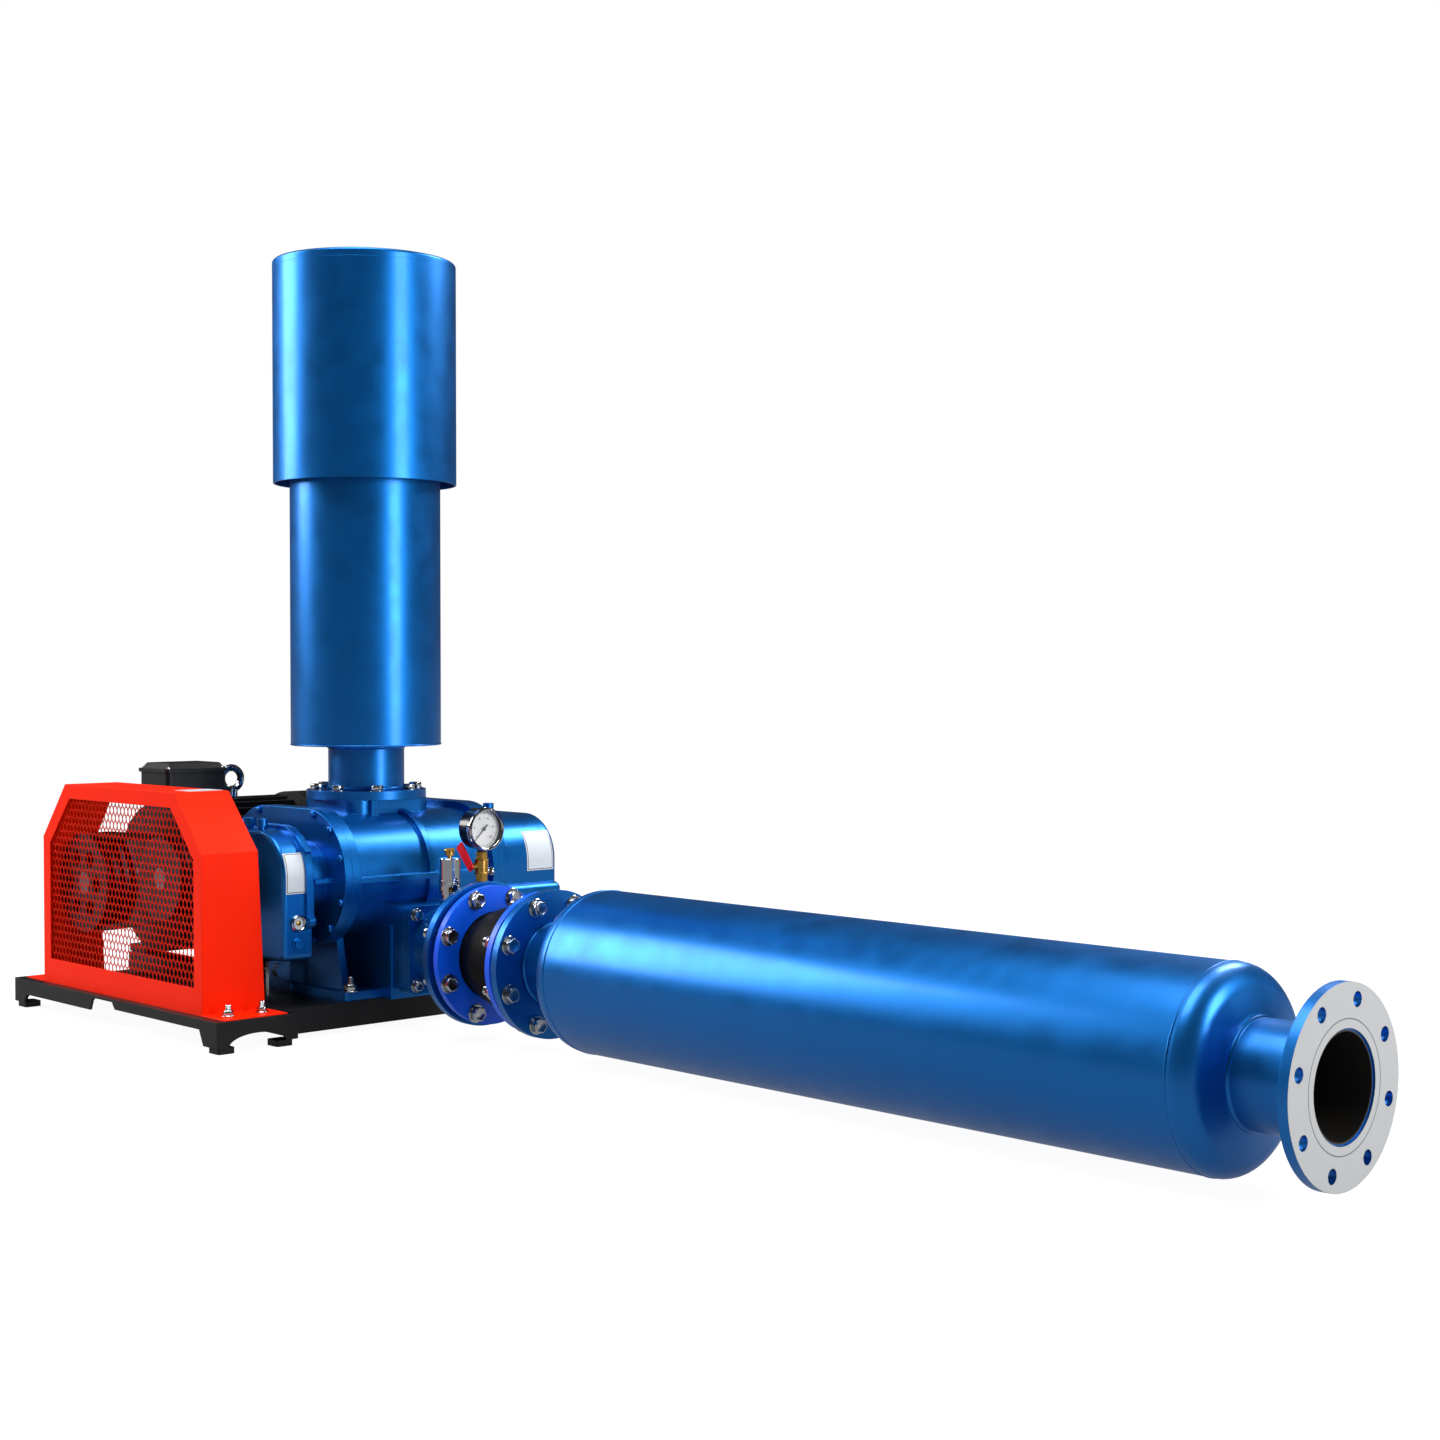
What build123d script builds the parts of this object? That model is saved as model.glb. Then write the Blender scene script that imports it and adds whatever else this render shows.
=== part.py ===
"""Belt-driven three-lobe Roots blower package with inlet filter silencer and discharge silencer.

Millimetres. X runs along the rotor shafts and +X points away from the belt guard, -Y is the way
the air leaves, +Z is up. The origin is on the floor, at the middle of the four anchor bolts.
"""
from build123d import *
from math import acos, asin, atan, cos, pi, radians, sin, sqrt, tan
import os

os.makedirs("parts", exist_ok=True)

# ---- driving dimensions -------------------------------------------------------------------
BLOWER_Y = -200.0        # plane of the inlet and discharge pipes' axes, X = 0
ROTOR_Z = 310.0          # height of both rotor shafts
CENTRES = 160.0          # between the rotor shafts
LOBES = 3
ROTOR_GAP = 0.3          # clearance ground off the rotor profile all round
PITCH_R = CENTRES / 2
BORE_R = PITCH_R * (1 + 1 / LOBES)
BARREL_R = BORE_R + 16   # outside of the cast barrel
PLATE_R = 138.0          # end flanges and end plates
CAST_X = (-180.0, 190.0)  # casing, flange face to flange face
FLANGE_T = 20.0
PLATE_T = 18.0
NECK_R = 72.0            # bearing housings between end plate and oil tank
SHAFT_R = 22.5
BEARING_R = 45.0
RUN_FIT = 0.05           # radial clearance of a shaft in its bearing or seal
TANK_X = (-305.0, -240.0)
GEAR_X = (208.0, 378.0)
GEAR_MODULE = 5.0
GEAR_TEETH = 32
GEAR_WIDTH = 36.0

DUCT_Z = 167.0           # discharge axis
PIPE_R = 79.5            # DN150 pipe, outside
PIPE_BORE_R = 75.0
DN150_OD = 285.0
DN150_PCD = 240.0
DN150_HOLE_R = 11.0
JOINT_HOLE_R = 11.5      # eased holes in the four flanges round the rubber joint
DN150_BOLTS = 8
DN150_T = 16.0
CASING_FACE_Y = BLOWER_Y - 260
PUMP_FLANGE_Y = BLOWER_Y - 398
JOINT_Y = PUMP_FLANGE_Y - DN150_T
JOINT_LENGTH = 200.0
JOINT_FLANGE_OD = 274.0
JOINT_FLANGE_T = 14.0
LIP_T = 12.0
LIP_R = 106.0
SILENCER_Y = JOINT_Y - JOINT_LENGTH
SHELL_R = 152.5
SHELL_T = 4.0
SHELL_Y = (BLOWER_Y - 780, BLOWER_Y - 2120)
HEAD_DEPTH = 50.0
OUTLET_Y = BLOWER_Y - 2305

PAD_TOP = 460.0
INLET_FLANGE_T = 18.0
INLET_FLANGE_R = 125.0
INLET_PCD = 210.0
BODY_R = 157.0
BODY_Z = (572.0, 1160.0)
HOOD_R = 191.0
HOOD_Z = (1120.0, 1567.0)
LID_T = 17.0
SHEET = 3.0

BASE_TOP = 62.0
BASE_SHEET = 5.0
FOOT_T = 12.0            # thickness of the feet
CHANNEL_X = (314.0, 493.0)
CHANNEL_Y = (-425.0, 417.0)
ANCHOR = (470.0, 400.0)  # half spacings of the anchor bolts
ANCHOR_R = 7.0

GUARD_X = (-475.0, -336.0)
GUARD_Y = (BLOWER_Y - 141, BLOWER_Y + 515)
GUARD_SHOULDER = 374.0
GUARD_TOP = 489.0
GUARD_T = 2.5

MOTOR_Y = BLOWER_Y + 400
MOTOR_Z = 280.0
MOTOR_BARREL_R = 148.0
MOTOR_FIN_R = 168.0
MOTOR_FOOT = 139.5       # from the axis to each row of hold-down bolts
MOTOR_X = (-262.0, 48.0)
COWL_X = (60.0, 134.0)
MOTOR_SHAFT_R = 24.0
RAIL_H = 40.0

BELT_X = (-430.0, -408.0, -386.0)
BELT_W = 15.0
BELT_H = 11.0
BLOWER_PULLEY_R = 84.0
MOTOR_PULLEY_R = 104.0

DRIVE_Y = BLOWER_Y + PITCH_R   # belt-driven rotor, at the back
IDLE_Y = BLOWER_Y - PITCH_R
GAUGE = (41.0, BLOWER_Y - 345, 409.0)
RELIEF = (-34.0, BLOWER_Y - 340)


def across(x):
    """Sketch plane square to the shafts: its first axis is +Y, its second +Z."""
    return Plane.YZ.offset(x)


def facing(y):
    """Sketch plane square to the discharge line, facing -Y: its axes are +X and +Z."""
    return Plane.XZ.offset(-y)


def twin_slot(radius):
    """Outline round both shafts, for a sketch on an across() plane."""
    with Locations((BLOWER_Y, ROTOR_Z)):
        SlotCenterToCenter(CENTRES, 2 * radius)


def cycloid(start, outward, steps=8):
    """One sixth of a rotor's outline, out over a lobe or in through a valley, without its last point."""
    rolling = PITCH_R / (2 * LOBES)
    points = []
    for i in range(steps):
        phi = i / steps * pi / LOBES
        roll = phi * PITCH_R / rolling
        if outward:
            x = (PITCH_R + rolling) * cos(phi) - rolling * cos(phi + roll)
            y = (PITCH_R + rolling) * sin(phi) - rolling * sin(phi + roll)
            normal = (sin(phi + roll / 2), -cos(phi + roll / 2))
        else:
            x = (PITCH_R - rolling) * cos(phi) + rolling * cos(phi - roll)
            y = (PITCH_R - rolling) * sin(phi) + rolling * sin(phi - roll)
            normal = (-sin(phi - roll / 2), cos(phi - roll / 2))
        x -= ROTOR_GAP * normal[0]
        y -= ROTOR_GAP * normal[1]
        points.append(Vector(x, y).rotate(Axis.Z, start))
    return points


def rotor_outline():
    """Closed outline of a three-lobe cycloidal rotor with one lobe along the first axis."""
    span = 180 / LOBES
    points = []
    for lobe in range(LOBES):
        middle = lobe * 360 / LOBES
        points += cycloid(middle - span / 2, True) + cycloid(middle + span / 2, False)
    Spline(*points, periodic=True)


def gear_points(turn):
    """Corner points of a 20 degree involute spur gear; turn is in degrees."""
    pitch = GEAR_TEETH * GEAR_MODULE / 2
    base = pitch * cos(radians(20))
    backlash = 0.5

    def half_angle(radius):
        pressure = acos(min(1, base / radius))
        involute = tan(pressure) - pressure
        at_pitch = tan(radians(20)) - radians(20)
        return pi / (2 * GEAR_TEETH) - backlash / pitch + at_pitch - involute

    root, tip = pitch - 1.25 * GEAR_MODULE, pitch + GEAR_MODULE
    radii = (max(root, base), pitch - 1.5, pitch + 1.5, tip)
    flank = [(root, half_angle(radii[0]))] + [(r, half_angle(r)) for r in radii[1:]]
    points = []
    for tooth in range(GEAR_TEETH):
        middle = radians(turn + tooth * 360 / GEAR_TEETH)
        points += [(r * cos(middle - a), r * sin(middle - a)) for r, a in flank]
        points += [(r * cos(middle + a), r * sin(middle + a)) for r, a in reversed(flank)]
    return points


# ---- base -----------------------------------------------------------------------------------
def channel_outline(side):
    """Section of a cross channel: an inverted U of folded plate, on an XZ plane."""
    inner, outer = CHANNEL_X
    with BuildLine() as outline:
        Polyline((side * inner, FOOT_T), (side * inner, BASE_TOP), (side * outer, BASE_TOP),
                 (side * outer, FOOT_T), (side * (outer - BASE_SHEET), FOOT_T),
                 (side * (outer - BASE_SHEET), BASE_TOP - BASE_SHEET),
                 (side * (inner + BASE_SHEET), BASE_TOP - BASE_SHEET),
                 (side * (inner + BASE_SHEET), FOOT_T), close=True)
    make_face(outline.edges())


# the outer walls stand on the corners only: (y, z) of the cut-out's upper edge, front to back
SKIRT = ((-375.0, 12.0), (-360.0, 42.0), (-28.0, 42.0), (-16.0, 56.0), (66.0, 56.0), (77.0, 30.0),
         (366.0, 30.0), (375.0, 12.0))
with BuildPart() as base_channels:
    for side in (-1, 1):
        with BuildSketch(facing(CHANNEL_Y[1])):
            channel_outline(side)
        extrude(amount=CHANNEL_Y[1] - CHANNEL_Y[0])
        with BuildSketch(across(side * CHANNEL_X[1])):
            with BuildLine():
                Polyline(*SKIRT, close=True)
            make_face()
        extrude(amount=-side * BASE_SHEET, mode=Mode.SUBTRACT)
        middle = side * (CHANNEL_X[0] + CHANNEL_X[1]) / 2
        half = (CHANNEL_X[1] - CHANNEL_X[0]) / 2 - BASE_SHEET
        # end plates come down beside an arch cut-out, onto the two feet
        for face_y in (CHANNEL_Y[0] + BASE_SHEET, CHANNEL_Y[1]):
            with BuildSketch(facing(face_y)):
                with Locations((middle, (FOOT_T + BASE_TOP - 4) / 2)):
                    Rectangle(2 * half, BASE_TOP - 4 - FOOT_T)
                with Locations((middle, FOOT_T)):
                    Ellipse(half - 22, 22, mode=Mode.SUBTRACT)
            extrude(amount=BASE_SHEET)
base_channels.part.label = "base_channels"
export_step(base_channels.part, "parts/base_channels.step")

with BuildPart() as base_beams:
    # the front deck carries the casing and has a window under it; the back one ties the channels
    for back, front, window in ((BLOWER_Y + 190, BLOWER_Y - 180, (200, 150)), (360, 300, None)):
        for wall_y in (back, front + BASE_SHEET):
            with BuildSketch(facing(wall_y)):
                with Locations((0, (FOOT_T + BASE_TOP - BASE_SHEET) / 2)):
                    Rectangle(2 * CHANNEL_X[0], BASE_TOP - BASE_SHEET - FOOT_T)
            extrude(amount=BASE_SHEET)
        with BuildSketch(Plane.XY.offset(BASE_TOP - BASE_SHEET)):
            with Locations((0, (back + front) / 2)):
                Rectangle(2 * CHANNEL_X[0], back - front)
                if window:
                    Rectangle(*window, mode=Mode.SUBTRACT)
        extrude(amount=BASE_SHEET)
base_beams.part.label = "base_beams"
export_step(base_beams.part, "parts/base_beams.step")

with BuildPart() as base_feet:
    with BuildSketch():
        for x, y in ((ANCHOR[0], ANCHOR[1]), (342.0, ANCHOR[1])):
            for sx in (-1, 1):
                for sy in (-1, 1):
                    with Locations((sx * x, sy * y - 4)):
                        RectangleRounded(36, 40, 6)
                    if x == ANCHOR[0]:
                        with Locations((sx * x, sy * y)):
                            Circle(ANCHOR_R, mode=Mode.SUBTRACT)
    extrude(amount=FOOT_T)
base_feet.part.label = "base_feet"
export_step(base_feet.part, "parts/base_feet.step")

# ---- blower casing ----------------------------------------------------------------------------
with BuildPart() as blower_casing:
    with BuildSketch(across(CAST_X[0])):
        twin_slot(BARREL_R)
    extrude(amount=CAST_X[1] - CAST_X[0])
    for x in (CAST_X[0], CAST_X[1] - FLANGE_T):
        with BuildSketch(across(x)):
            twin_slot(PLATE_R)
        extrude(amount=FLANGE_T)
    with BuildSketch(across(12)):
        twin_slot(BARREL_R + 8)
    extrude(amount=14)
    # side ribs along the joint line of the core
    with BuildSketch(across(CAST_X[0])):
        with Locations((BLOWER_Y, ROTOR_Z - 2)):
            Rectangle(CENTRES + 2 * BARREL_R + 28, 12)
    extrude(amount=CAST_X[1] - CAST_X[0])
    # discharge chest under the barrel, drawn out to the square flange
    with BuildSketch(Plane.XY.offset(BASE_TOP)):
        with Locations((0, BLOWER_Y - 60)):
            Rectangle(170, 300)
    extrude(amount=150)
    with BuildSketch(facing(BLOWER_Y - 150)):
        with Locations((0, DUCT_Z + 5)):
            Rectangle(168, 174)
    with BuildSketch(facing(CASING_FACE_Y + FLANGE_T)):
        with Locations((0, DUCT_Z)):
            Rectangle(162, 162)
    loft()
    with BuildSketch(facing(CASING_FACE_Y + FLANGE_T)):
        with Locations((0, DUCT_Z)):
            RectangleRounded(176, 176, 14)
    extrude(amount=FLANGE_T)
    # feet and their pedestals
    with BuildSketch(Plane.XY.offset(BASE_TOP)):
        for side in (-1, 1):
            with Locations((side * 126, BLOWER_Y)):
                RectangleRounded(92, 350, 8)
    extrude(amount=18)
    for side in (-1, 1):
        with BuildSketch(across(side * 150 - 8)):
            with Locations((BLOWER_Y, BASE_TOP + 75)):
                Trapezoid(300, 150, 78)
        extrude(amount=16)
    # inlet pad, with a stiffening rib down its front
    with BuildSketch(Plane.XY.offset(ROTOR_Z + 60)):
        with Locations((0, BLOWER_Y)):
            RectangleRounded(200, 200, 34)
    extrude(amount=PAD_TOP - ROTOR_Z - 60)
    with BuildSketch(across(-62)):
        with Locations((BLOWER_Y - 98, PAD_TOP - 40)):
            Rectangle(24, 80)
    extrude(amount=18)
    # inside: twin bores, inlet port, discharge port and duct
    with BuildSketch(across(CAST_X[0])):
        with Locations((DRIVE_Y, ROTOR_Z), (IDLE_Y, ROTOR_Z)):
            Circle(BORE_R)
    extrude(amount=CAST_X[1] - CAST_X[0], mode=Mode.SUBTRACT)
    with BuildSketch(Plane.XY.offset(ROTOR_Z)):
        with Locations((0, BLOWER_Y)):
            Circle(PIPE_BORE_R)
    extrude(amount=PAD_TOP - ROTOR_Z, mode=Mode.SUBTRACT)
    with BuildSketch(Plane.XY.offset(BASE_TOP + 32)):
        with Locations((0, BLOWER_Y)):
            Rectangle(140, 96)
    extrude(amount=ROTOR_Z - BASE_TOP - 60, mode=Mode.SUBTRACT)
    with BuildSketch(facing(BLOWER_Y + 48)):
        with Locations((0, 140)):
            Rectangle(140, 92)
    extrude(amount=238, mode=Mode.SUBTRACT)
    with BuildSketch(facing(CASING_FACE_Y)):
        with Locations((0, DUCT_Z)):
            Circle(PIPE_BORE_R)
    extrude(amount=-90, mode=Mode.SUBTRACT)
blower_casing.part.label = "blower_casing"
export_step(blower_casing.part, "parts/blower_casing.step")


def shaft_holes(face_x, radius):
    """Two circles on the shafts, as a private sketch on an across() plane."""
    with BuildSketch(across(face_x)) as holes:
        with Locations((DRIVE_Y, ROTOR_Z), (IDLE_Y, ROTOR_Z)):
            Circle(radius)
    return holes.sketch


NECK_L = 42.0
SEAT_L = 25.0
SEAL_R = SHAFT_R + 8
with BuildPart() as drive_end_plate:
    with BuildSketch(across(CAST_X[0])):
        twin_slot(PLATE_R)
    extrude(amount=-PLATE_T)
    with BuildSketch(across(CAST_X[0] - PLATE_T)):
        twin_slot(NECK_R)
        with Locations((BLOWER_Y, ROTOR_Z - 2)):
            Rectangle(CENTRES + 2 * NECK_R + 46, 9)
    extrude(amount=-NECK_L)
    extrude(shaft_holes(CAST_X[0], SEAL_R), amount=-PLATE_T - NECK_L, mode=Mode.SUBTRACT)
    # bearing seats open towards the oil tank
    extrude(shaft_holes(TANK_X[1], BEARING_R), amount=SEAT_L, mode=Mode.SUBTRACT)
drive_end_plate.part.label = "drive_end_plate"
export_step(drive_end_plate.part, "parts/drive_end_plate.step")

GEAR_SEAT_X = GEAR_X[0] + 34
with BuildPart() as gear_end_plate:
    with BuildSketch(across(CAST_X[1])):
        twin_slot(PLATE_R)
    extrude(amount=PLATE_T)
    extrude(shaft_holes(GEAR_X[0], BEARING_R + 14), amount=34)
    extrude(shaft_holes(CAST_X[1], SEAL_R), amount=60, mode=Mode.SUBTRACT)
    extrude(shaft_holes(GEAR_SEAT_X, BEARING_R), amount=-SEAT_L, mode=Mode.SUBTRACT)
gear_end_plate.part.label = "gear_end_plate"
export_step(gear_end_plate.part, "parts/gear_end_plate.step")


def case_outline(half_width, bottom, top, corner, foot=16.0):
    """Upright case outline with big top corners, centred on the blower, on an across() plane."""
    front, back = BLOWER_Y - half_width, BLOWER_Y + half_width
    with BuildLine() as outline:
        FilletPolyline((front, bottom), (front, top), (back, top), (back, bottom),
                       radius=(foot, corner, corner, foot), close=True)
    make_face(outline.edges())


TANK_HALF, TANK_Z = 160.0, (152.0, 408.0)
TANK_WALL = 7.0
with BuildPart() as drive_oil_tank:
    with BuildSketch(across(TANK_X[0])):
        case_outline(TANK_HALF, *TANK_Z, 92)
    extrude(amount=TANK_X[1] - TANK_X[0])
    rim = drive_oil_tank.faces().sort_by(Axis.X)[0].edges()
    fillet(rim, 8)
    # split flange with lugs at the shoulders, towards the bearing housings
    with BuildSketch(across(TANK_X[1] - 16)):
        case_outline(TANK_HALF + 9, TANK_Z[0] + 60, TANK_Z[1] + 9, 100)
    extrude(amount=16)
    with BuildSketch(across(TANK_X[1] - 14)):
        for side in (-1, 1):
            with Locations((BLOWER_Y + side * (TANK_HALF - 22), TANK_Z[1] - 32)):
                Rectangle(46, 22, rotation=-side * 42)
            with Locations((BLOWER_Y + side * (TANK_HALF + 4), TANK_Z[0] + 78)):
                Circle(12)
    extrude(amount=14)
    with BuildSketch(across(TANK_X[0] + TANK_WALL)):
        case_outline(TANK_HALF - TANK_WALL, TANK_Z[0] + TANK_WALL, TANK_Z[1] - TANK_WALL, 92 - TANK_WALL, 10)
    extrude(amount=TANK_X[1] - TANK_X[0], mode=Mode.SUBTRACT)
    with BuildSketch(across(TANK_X[0] - 14)):
        with Locations((DRIVE_Y, ROTOR_Z)):
            Circle(46)
    extrude(amount=14 + TANK_WALL)
    with BuildSketch(across(TANK_X[0] - 14)):
        with Locations((DRIVE_Y, ROTOR_Z)):
            Circle(34)
    extrude(amount=30, mode=Mode.SUBTRACT)
drive_oil_tank.part.label = "drive_oil_tank"
export_step(drive_oil_tank.part, "parts/drive_oil_tank.step")

CASE_HALF, CASE_Z = 174.0, (196.0, 414.0)
SUMP_HALF, SUMP_Z = 192.0, (176.0, 270.0)
with BuildPart() as gear_case:
    with BuildSketch(across(GEAR_X[0])):
        case_outline(CASE_HALF, *CASE_Z, 96)
        case_outline(SUMP_HALF, *SUMP_Z, 16)
    extrude(amount=GEAR_X[1] - GEAR_X[0])
    outer = gear_case.faces().sort_by(Axis.X)[-1].edges()
    fillet(outer, 14)
    with BuildSketch(across(GEAR_X[0])):
        case_outline(CASE_HALF + 12, CASE_Z[0], CASE_Z[1] + 12, 106)
    extrude(amount=16)
    # oil space, open towards the end plate
    with BuildSketch(across(GEAR_X[0])):
        case_outline(CASE_HALF - 6, CASE_Z[0] + 4, CASE_Z[1] - 6, 90, 10)
        case_outline(SUMP_HALF - 8, SUMP_Z[0] + 8, SUMP_Z[1] - 8, 9, 9)
    extrude(amount=GEAR_X[1] - GEAR_X[0] - 20, mode=Mode.SUBTRACT)
gear_case.part.label = "gear_case"
export_step(gear_case.part, "parts/gear_case.step")

BEARING_FACES = (TANK_X[1], GEAR_SEAT_X - SEAT_L)
with BuildPart() as rotor_bearings:
    for face_x in BEARING_FACES:
        with BuildSketch(across(face_x)):
            with Locations((DRIVE_Y, ROTOR_Z), (IDLE_Y, ROTOR_Z)):
                Circle(BEARING_R)
                Circle(SHAFT_R + RUN_FIT, mode=Mode.SUBTRACT)
        extrude(amount=25)
        # the groove between the two races, where the balls run
        with BuildSketch(across(face_x)):
            with Locations((DRIVE_Y, ROTOR_Z), (IDLE_Y, ROTOR_Z)):
                Circle(37)
                Circle(30, mode=Mode.SUBTRACT)
        extrude(amount=4, mode=Mode.SUBTRACT)
rotor_bearings.part.label = "rotor_bearings"
export_step(rotor_bearings.part, "parts/rotor_bearings.step")

with BuildPart() as shaft_seals:
    for face_x in (CAST_X[0] - PLATE_T, CAST_X[1]):
        with BuildSketch(across(face_x)):
            with Locations((DRIVE_Y, ROTOR_Z), (IDLE_Y, ROTOR_Z)):
                Circle(SHAFT_R + 8)
                Circle(SHAFT_R + RUN_FIT, mode=Mode.SUBTRACT)
        extrude(amount=PLATE_T)
    with BuildSketch(across(TANK_X[0] - 14)):
        with Locations((DRIVE_Y, ROTOR_Z)):
            Circle(34)
            Circle(SHAFT_R + RUN_FIT, mode=Mode.SUBTRACT)
    extrude(amount=14)
shaft_seals.part.label = "shaft_seals"
export_step(shaft_seals.part, "parts/shaft_seals.step")

# ---- rotating group ---------------------------------------------------------------------------
ROTOR_X = (CAST_X[0] + ROTOR_GAP, CAST_X[1] - ROTOR_GAP)
HUB_R = 34.0


def rotor_body(shaft_y):
    """Lobed body of one rotor, bored for its shaft, as builder calls."""
    face = Plane(origin=(ROTOR_X[0], shaft_y, ROTOR_Z), x_dir=(0, 1, 0), z_dir=(1, 0, 0))
    with BuildSketch(face) as section:
        with BuildLine():
            rotor_outline()
        make_face()
        Circle(HUB_R, mode=Mode.SUBTRACT)
    extrude(section.sketch, amount=ROTOR_X[1] - ROTOR_X[0])


def stepped_shaft(shaft_y, start_x, end_x):
    """Shaft with a stout middle for the rotor and journals at both ends, as builder calls."""
    for from_x, to_x, radius in ((start_x, end_x, SHAFT_R), (ROTOR_X[0], ROTOR_X[1], HUB_R)):
        with BuildSketch(across(from_x)) as section:
            with Locations((shaft_y, ROTOR_Z)):
                Circle(radius)
        extrude(section.sketch, amount=to_x - from_x)


with BuildPart() as drive_rotor:
    rotor_body(DRIVE_Y)
drive_rotor.part.label = "drive_rotor"
export_step(drive_rotor.part, "parts/drive_rotor.step")

with BuildPart() as idle_rotor:
    rotor_body(IDLE_Y)
idle_rotor.part.label = "idle_rotor"
export_step(idle_rotor.part, "parts/idle_rotor.step")

GEAR_MID = GEAR_SEAT_X + 14
SHAFT_END = GEAR_MID + GEAR_WIDTH + 20
with BuildPart() as drive_shaft:
    stepped_shaft(DRIVE_Y, BELT_X[0] - 12, SHAFT_END)
drive_shaft.part.label = "drive_shaft"
export_step(drive_shaft.part, "parts/drive_shaft.step")

with BuildPart() as idle_shaft:
    stepped_shaft(IDLE_Y, CAST_X[0] - PLATE_T - 52, SHAFT_END)
idle_shaft.part.label = "idle_shaft"
export_step(idle_shaft.part, "parts/idle_shaft.step")


def timing_gear(shaft_y, turn):
    """Timing gear on its shaft, with a hub, as builder calls."""
    face = Plane(origin=(GEAR_MID, shaft_y, ROTOR_Z), x_dir=(0, 1, 0), z_dir=(1, 0, 0))
    with BuildSketch(face) as section:
        with BuildLine():
            Polyline(*gear_points(turn), close=True)
        make_face()
        Circle(SHAFT_R, mode=Mode.SUBTRACT)
        with PolarLocations(50, 6):
            Circle(10, mode=Mode.SUBTRACT)
    extrude(section.sketch, amount=GEAR_WIDTH)


with BuildPart() as drive_timing_gear:
    timing_gear(DRIVE_Y, 180 / GEAR_TEETH)
drive_timing_gear.part.label = "drive_timing_gear"
export_step(drive_timing_gear.part, "parts/drive_timing_gear.step")

with BuildPart() as idle_timing_gear:
    timing_gear(IDLE_Y, 0)
idle_timing_gear.part.label = "idle_timing_gear"
export_step(idle_timing_gear.part, "parts/idle_timing_gear.step")

GROOVE_SLOPE = tan(radians(18))
BELT_CLEAR = 0.4


def groove_half(radius, rim_r, clear):
    """Half width of a belt, or with clearance of its groove, at a radius inside the belt's top."""
    return BELT_W / 2 - (rim_r + 1 - radius) * GROOVE_SLOPE + clear


def pulley(shaft_y, shaft_z, rim_r, bore_r):
    """V-belt pulley turned about its shaft, with one groove for each belt, as builder calls."""
    bottom = rim_r - BELT_H - 2
    points = [(BELT_X[0] - 13, bore_r), (BELT_X[0] - 13, rim_r)]
    for x in BELT_X:
        top_half = groove_half(rim_r, rim_r, BELT_CLEAR)
        low_half = groove_half(bottom, rim_r, BELT_CLEAR)
        points += [(x - top_half, rim_r), (x - low_half, bottom), (x + low_half, bottom), (x + top_half, rim_r)]
    points += [(BELT_X[-1] + 13, rim_r), (BELT_X[-1] + 13, bore_r)]
    with BuildSketch(Plane(origin=(0, shaft_y, shaft_z), x_dir=(1, 0, 0), z_dir=(0, 1, 0))) as section:
        with BuildLine():
            Polyline(*[(x, -r) for x, r in points], close=True)
        make_face()
    revolve(section.sketch, axis=Axis((0, shaft_y, shaft_z), (1, 0, 0)))


with BuildPart() as blower_pulley:
    pulley(DRIVE_Y, ROTOR_Z, BLOWER_PULLEY_R, SHAFT_R)
blower_pulley.part.label = "blower_pulley"
export_step(blower_pulley.part, "parts/blower_pulley.step")

with BuildPart() as motor_pulley:
    pulley(MOTOR_Y, MOTOR_Z, MOTOR_PULLEY_R, MOTOR_SHAFT_R)
    with BuildSketch(across(BELT_X[0] - 13)):
        with Locations((MOTOR_Y, MOTOR_Z)):
            with PolarLocations(58, 6):
                Circle(17)
    extrude(amount=BELT_X[-1] - BELT_X[0] + 26, mode=Mode.SUBTRACT)
motor_pulley.part.label = "motor_pulley"
export_step(motor_pulley.part, "parts/motor_pulley.step")


def belt_loop(shrink):
    """Open belt line round both pulleys, as a private face shrunk from the belt's outside."""
    small, large = BLOWER_PULLEY_R + 1 - shrink, MOTOR_PULLEY_R + 1 - shrink
    run = sqrt((MOTOR_Y - DRIVE_Y) ** 2 + (MOTOR_Z - ROTOR_Z) ** 2)
    lean = asin((large - small) / run)
    slope = atan((MOTOR_Z - ROTOR_Z) / (MOTOR_Y - DRIVE_Y))
    up, down = slope + pi / 2 + lean, slope - pi / 2 - lean

    def spot(centre, radius, angle):
        return (centre[0] + radius * cos(angle), centre[1] + radius * sin(angle))

    blower, motor = (DRIVE_Y, ROTOR_Z), (MOTOR_Y, MOTOR_Z)
    with BuildLine() as outline:
        Line(spot(blower, small, up), spot(motor, large, up))
        ThreePointArc(spot(motor, large, up), spot(motor, large, slope), spot(motor, large, down))
        Line(spot(motor, large, down), spot(blower, small, down))
        ThreePointArc(spot(blower, small, down), spot(blower, small, slope + pi), spot(blower, small, up))
    make_face(outline.edges())


with BuildPart() as drive_belts:
    # wedge section: full width at the outside, flanks closing in towards the pulleys
    low_half = groove_half(BLOWER_PULLEY_R + 1 - BELT_H, BLOWER_PULLEY_R, 0)
    for x in BELT_X:
        with BuildSketch(across(x - BELT_W / 2)):
            belt_loop(0)
        extrude(amount=BELT_W)
    for x in BELT_X:
        with BuildSketch(across(x - BELT_W / 2)):
            belt_loop(BELT_H)
        extrude(amount=BELT_W, mode=Mode.SUBTRACT)
        for side in (-1, 1):
            with BuildSketch(across(x + side * low_half)):
                belt_loop(BELT_H)
            with BuildSketch(across(x + side * BELT_W / 2)):
                belt_loop(0.2)
            loft(ruled=True, mode=Mode.SUBTRACT)
drive_belts.part.label = "drive_belts"
export_step(drive_belts.part, "parts/drive_belts.step")

# ---- discharge line -----------------------------------------------------------------------------
DUCT_AXIS = Axis((0, 0, DUCT_Z), (0, -1, 0))


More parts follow.
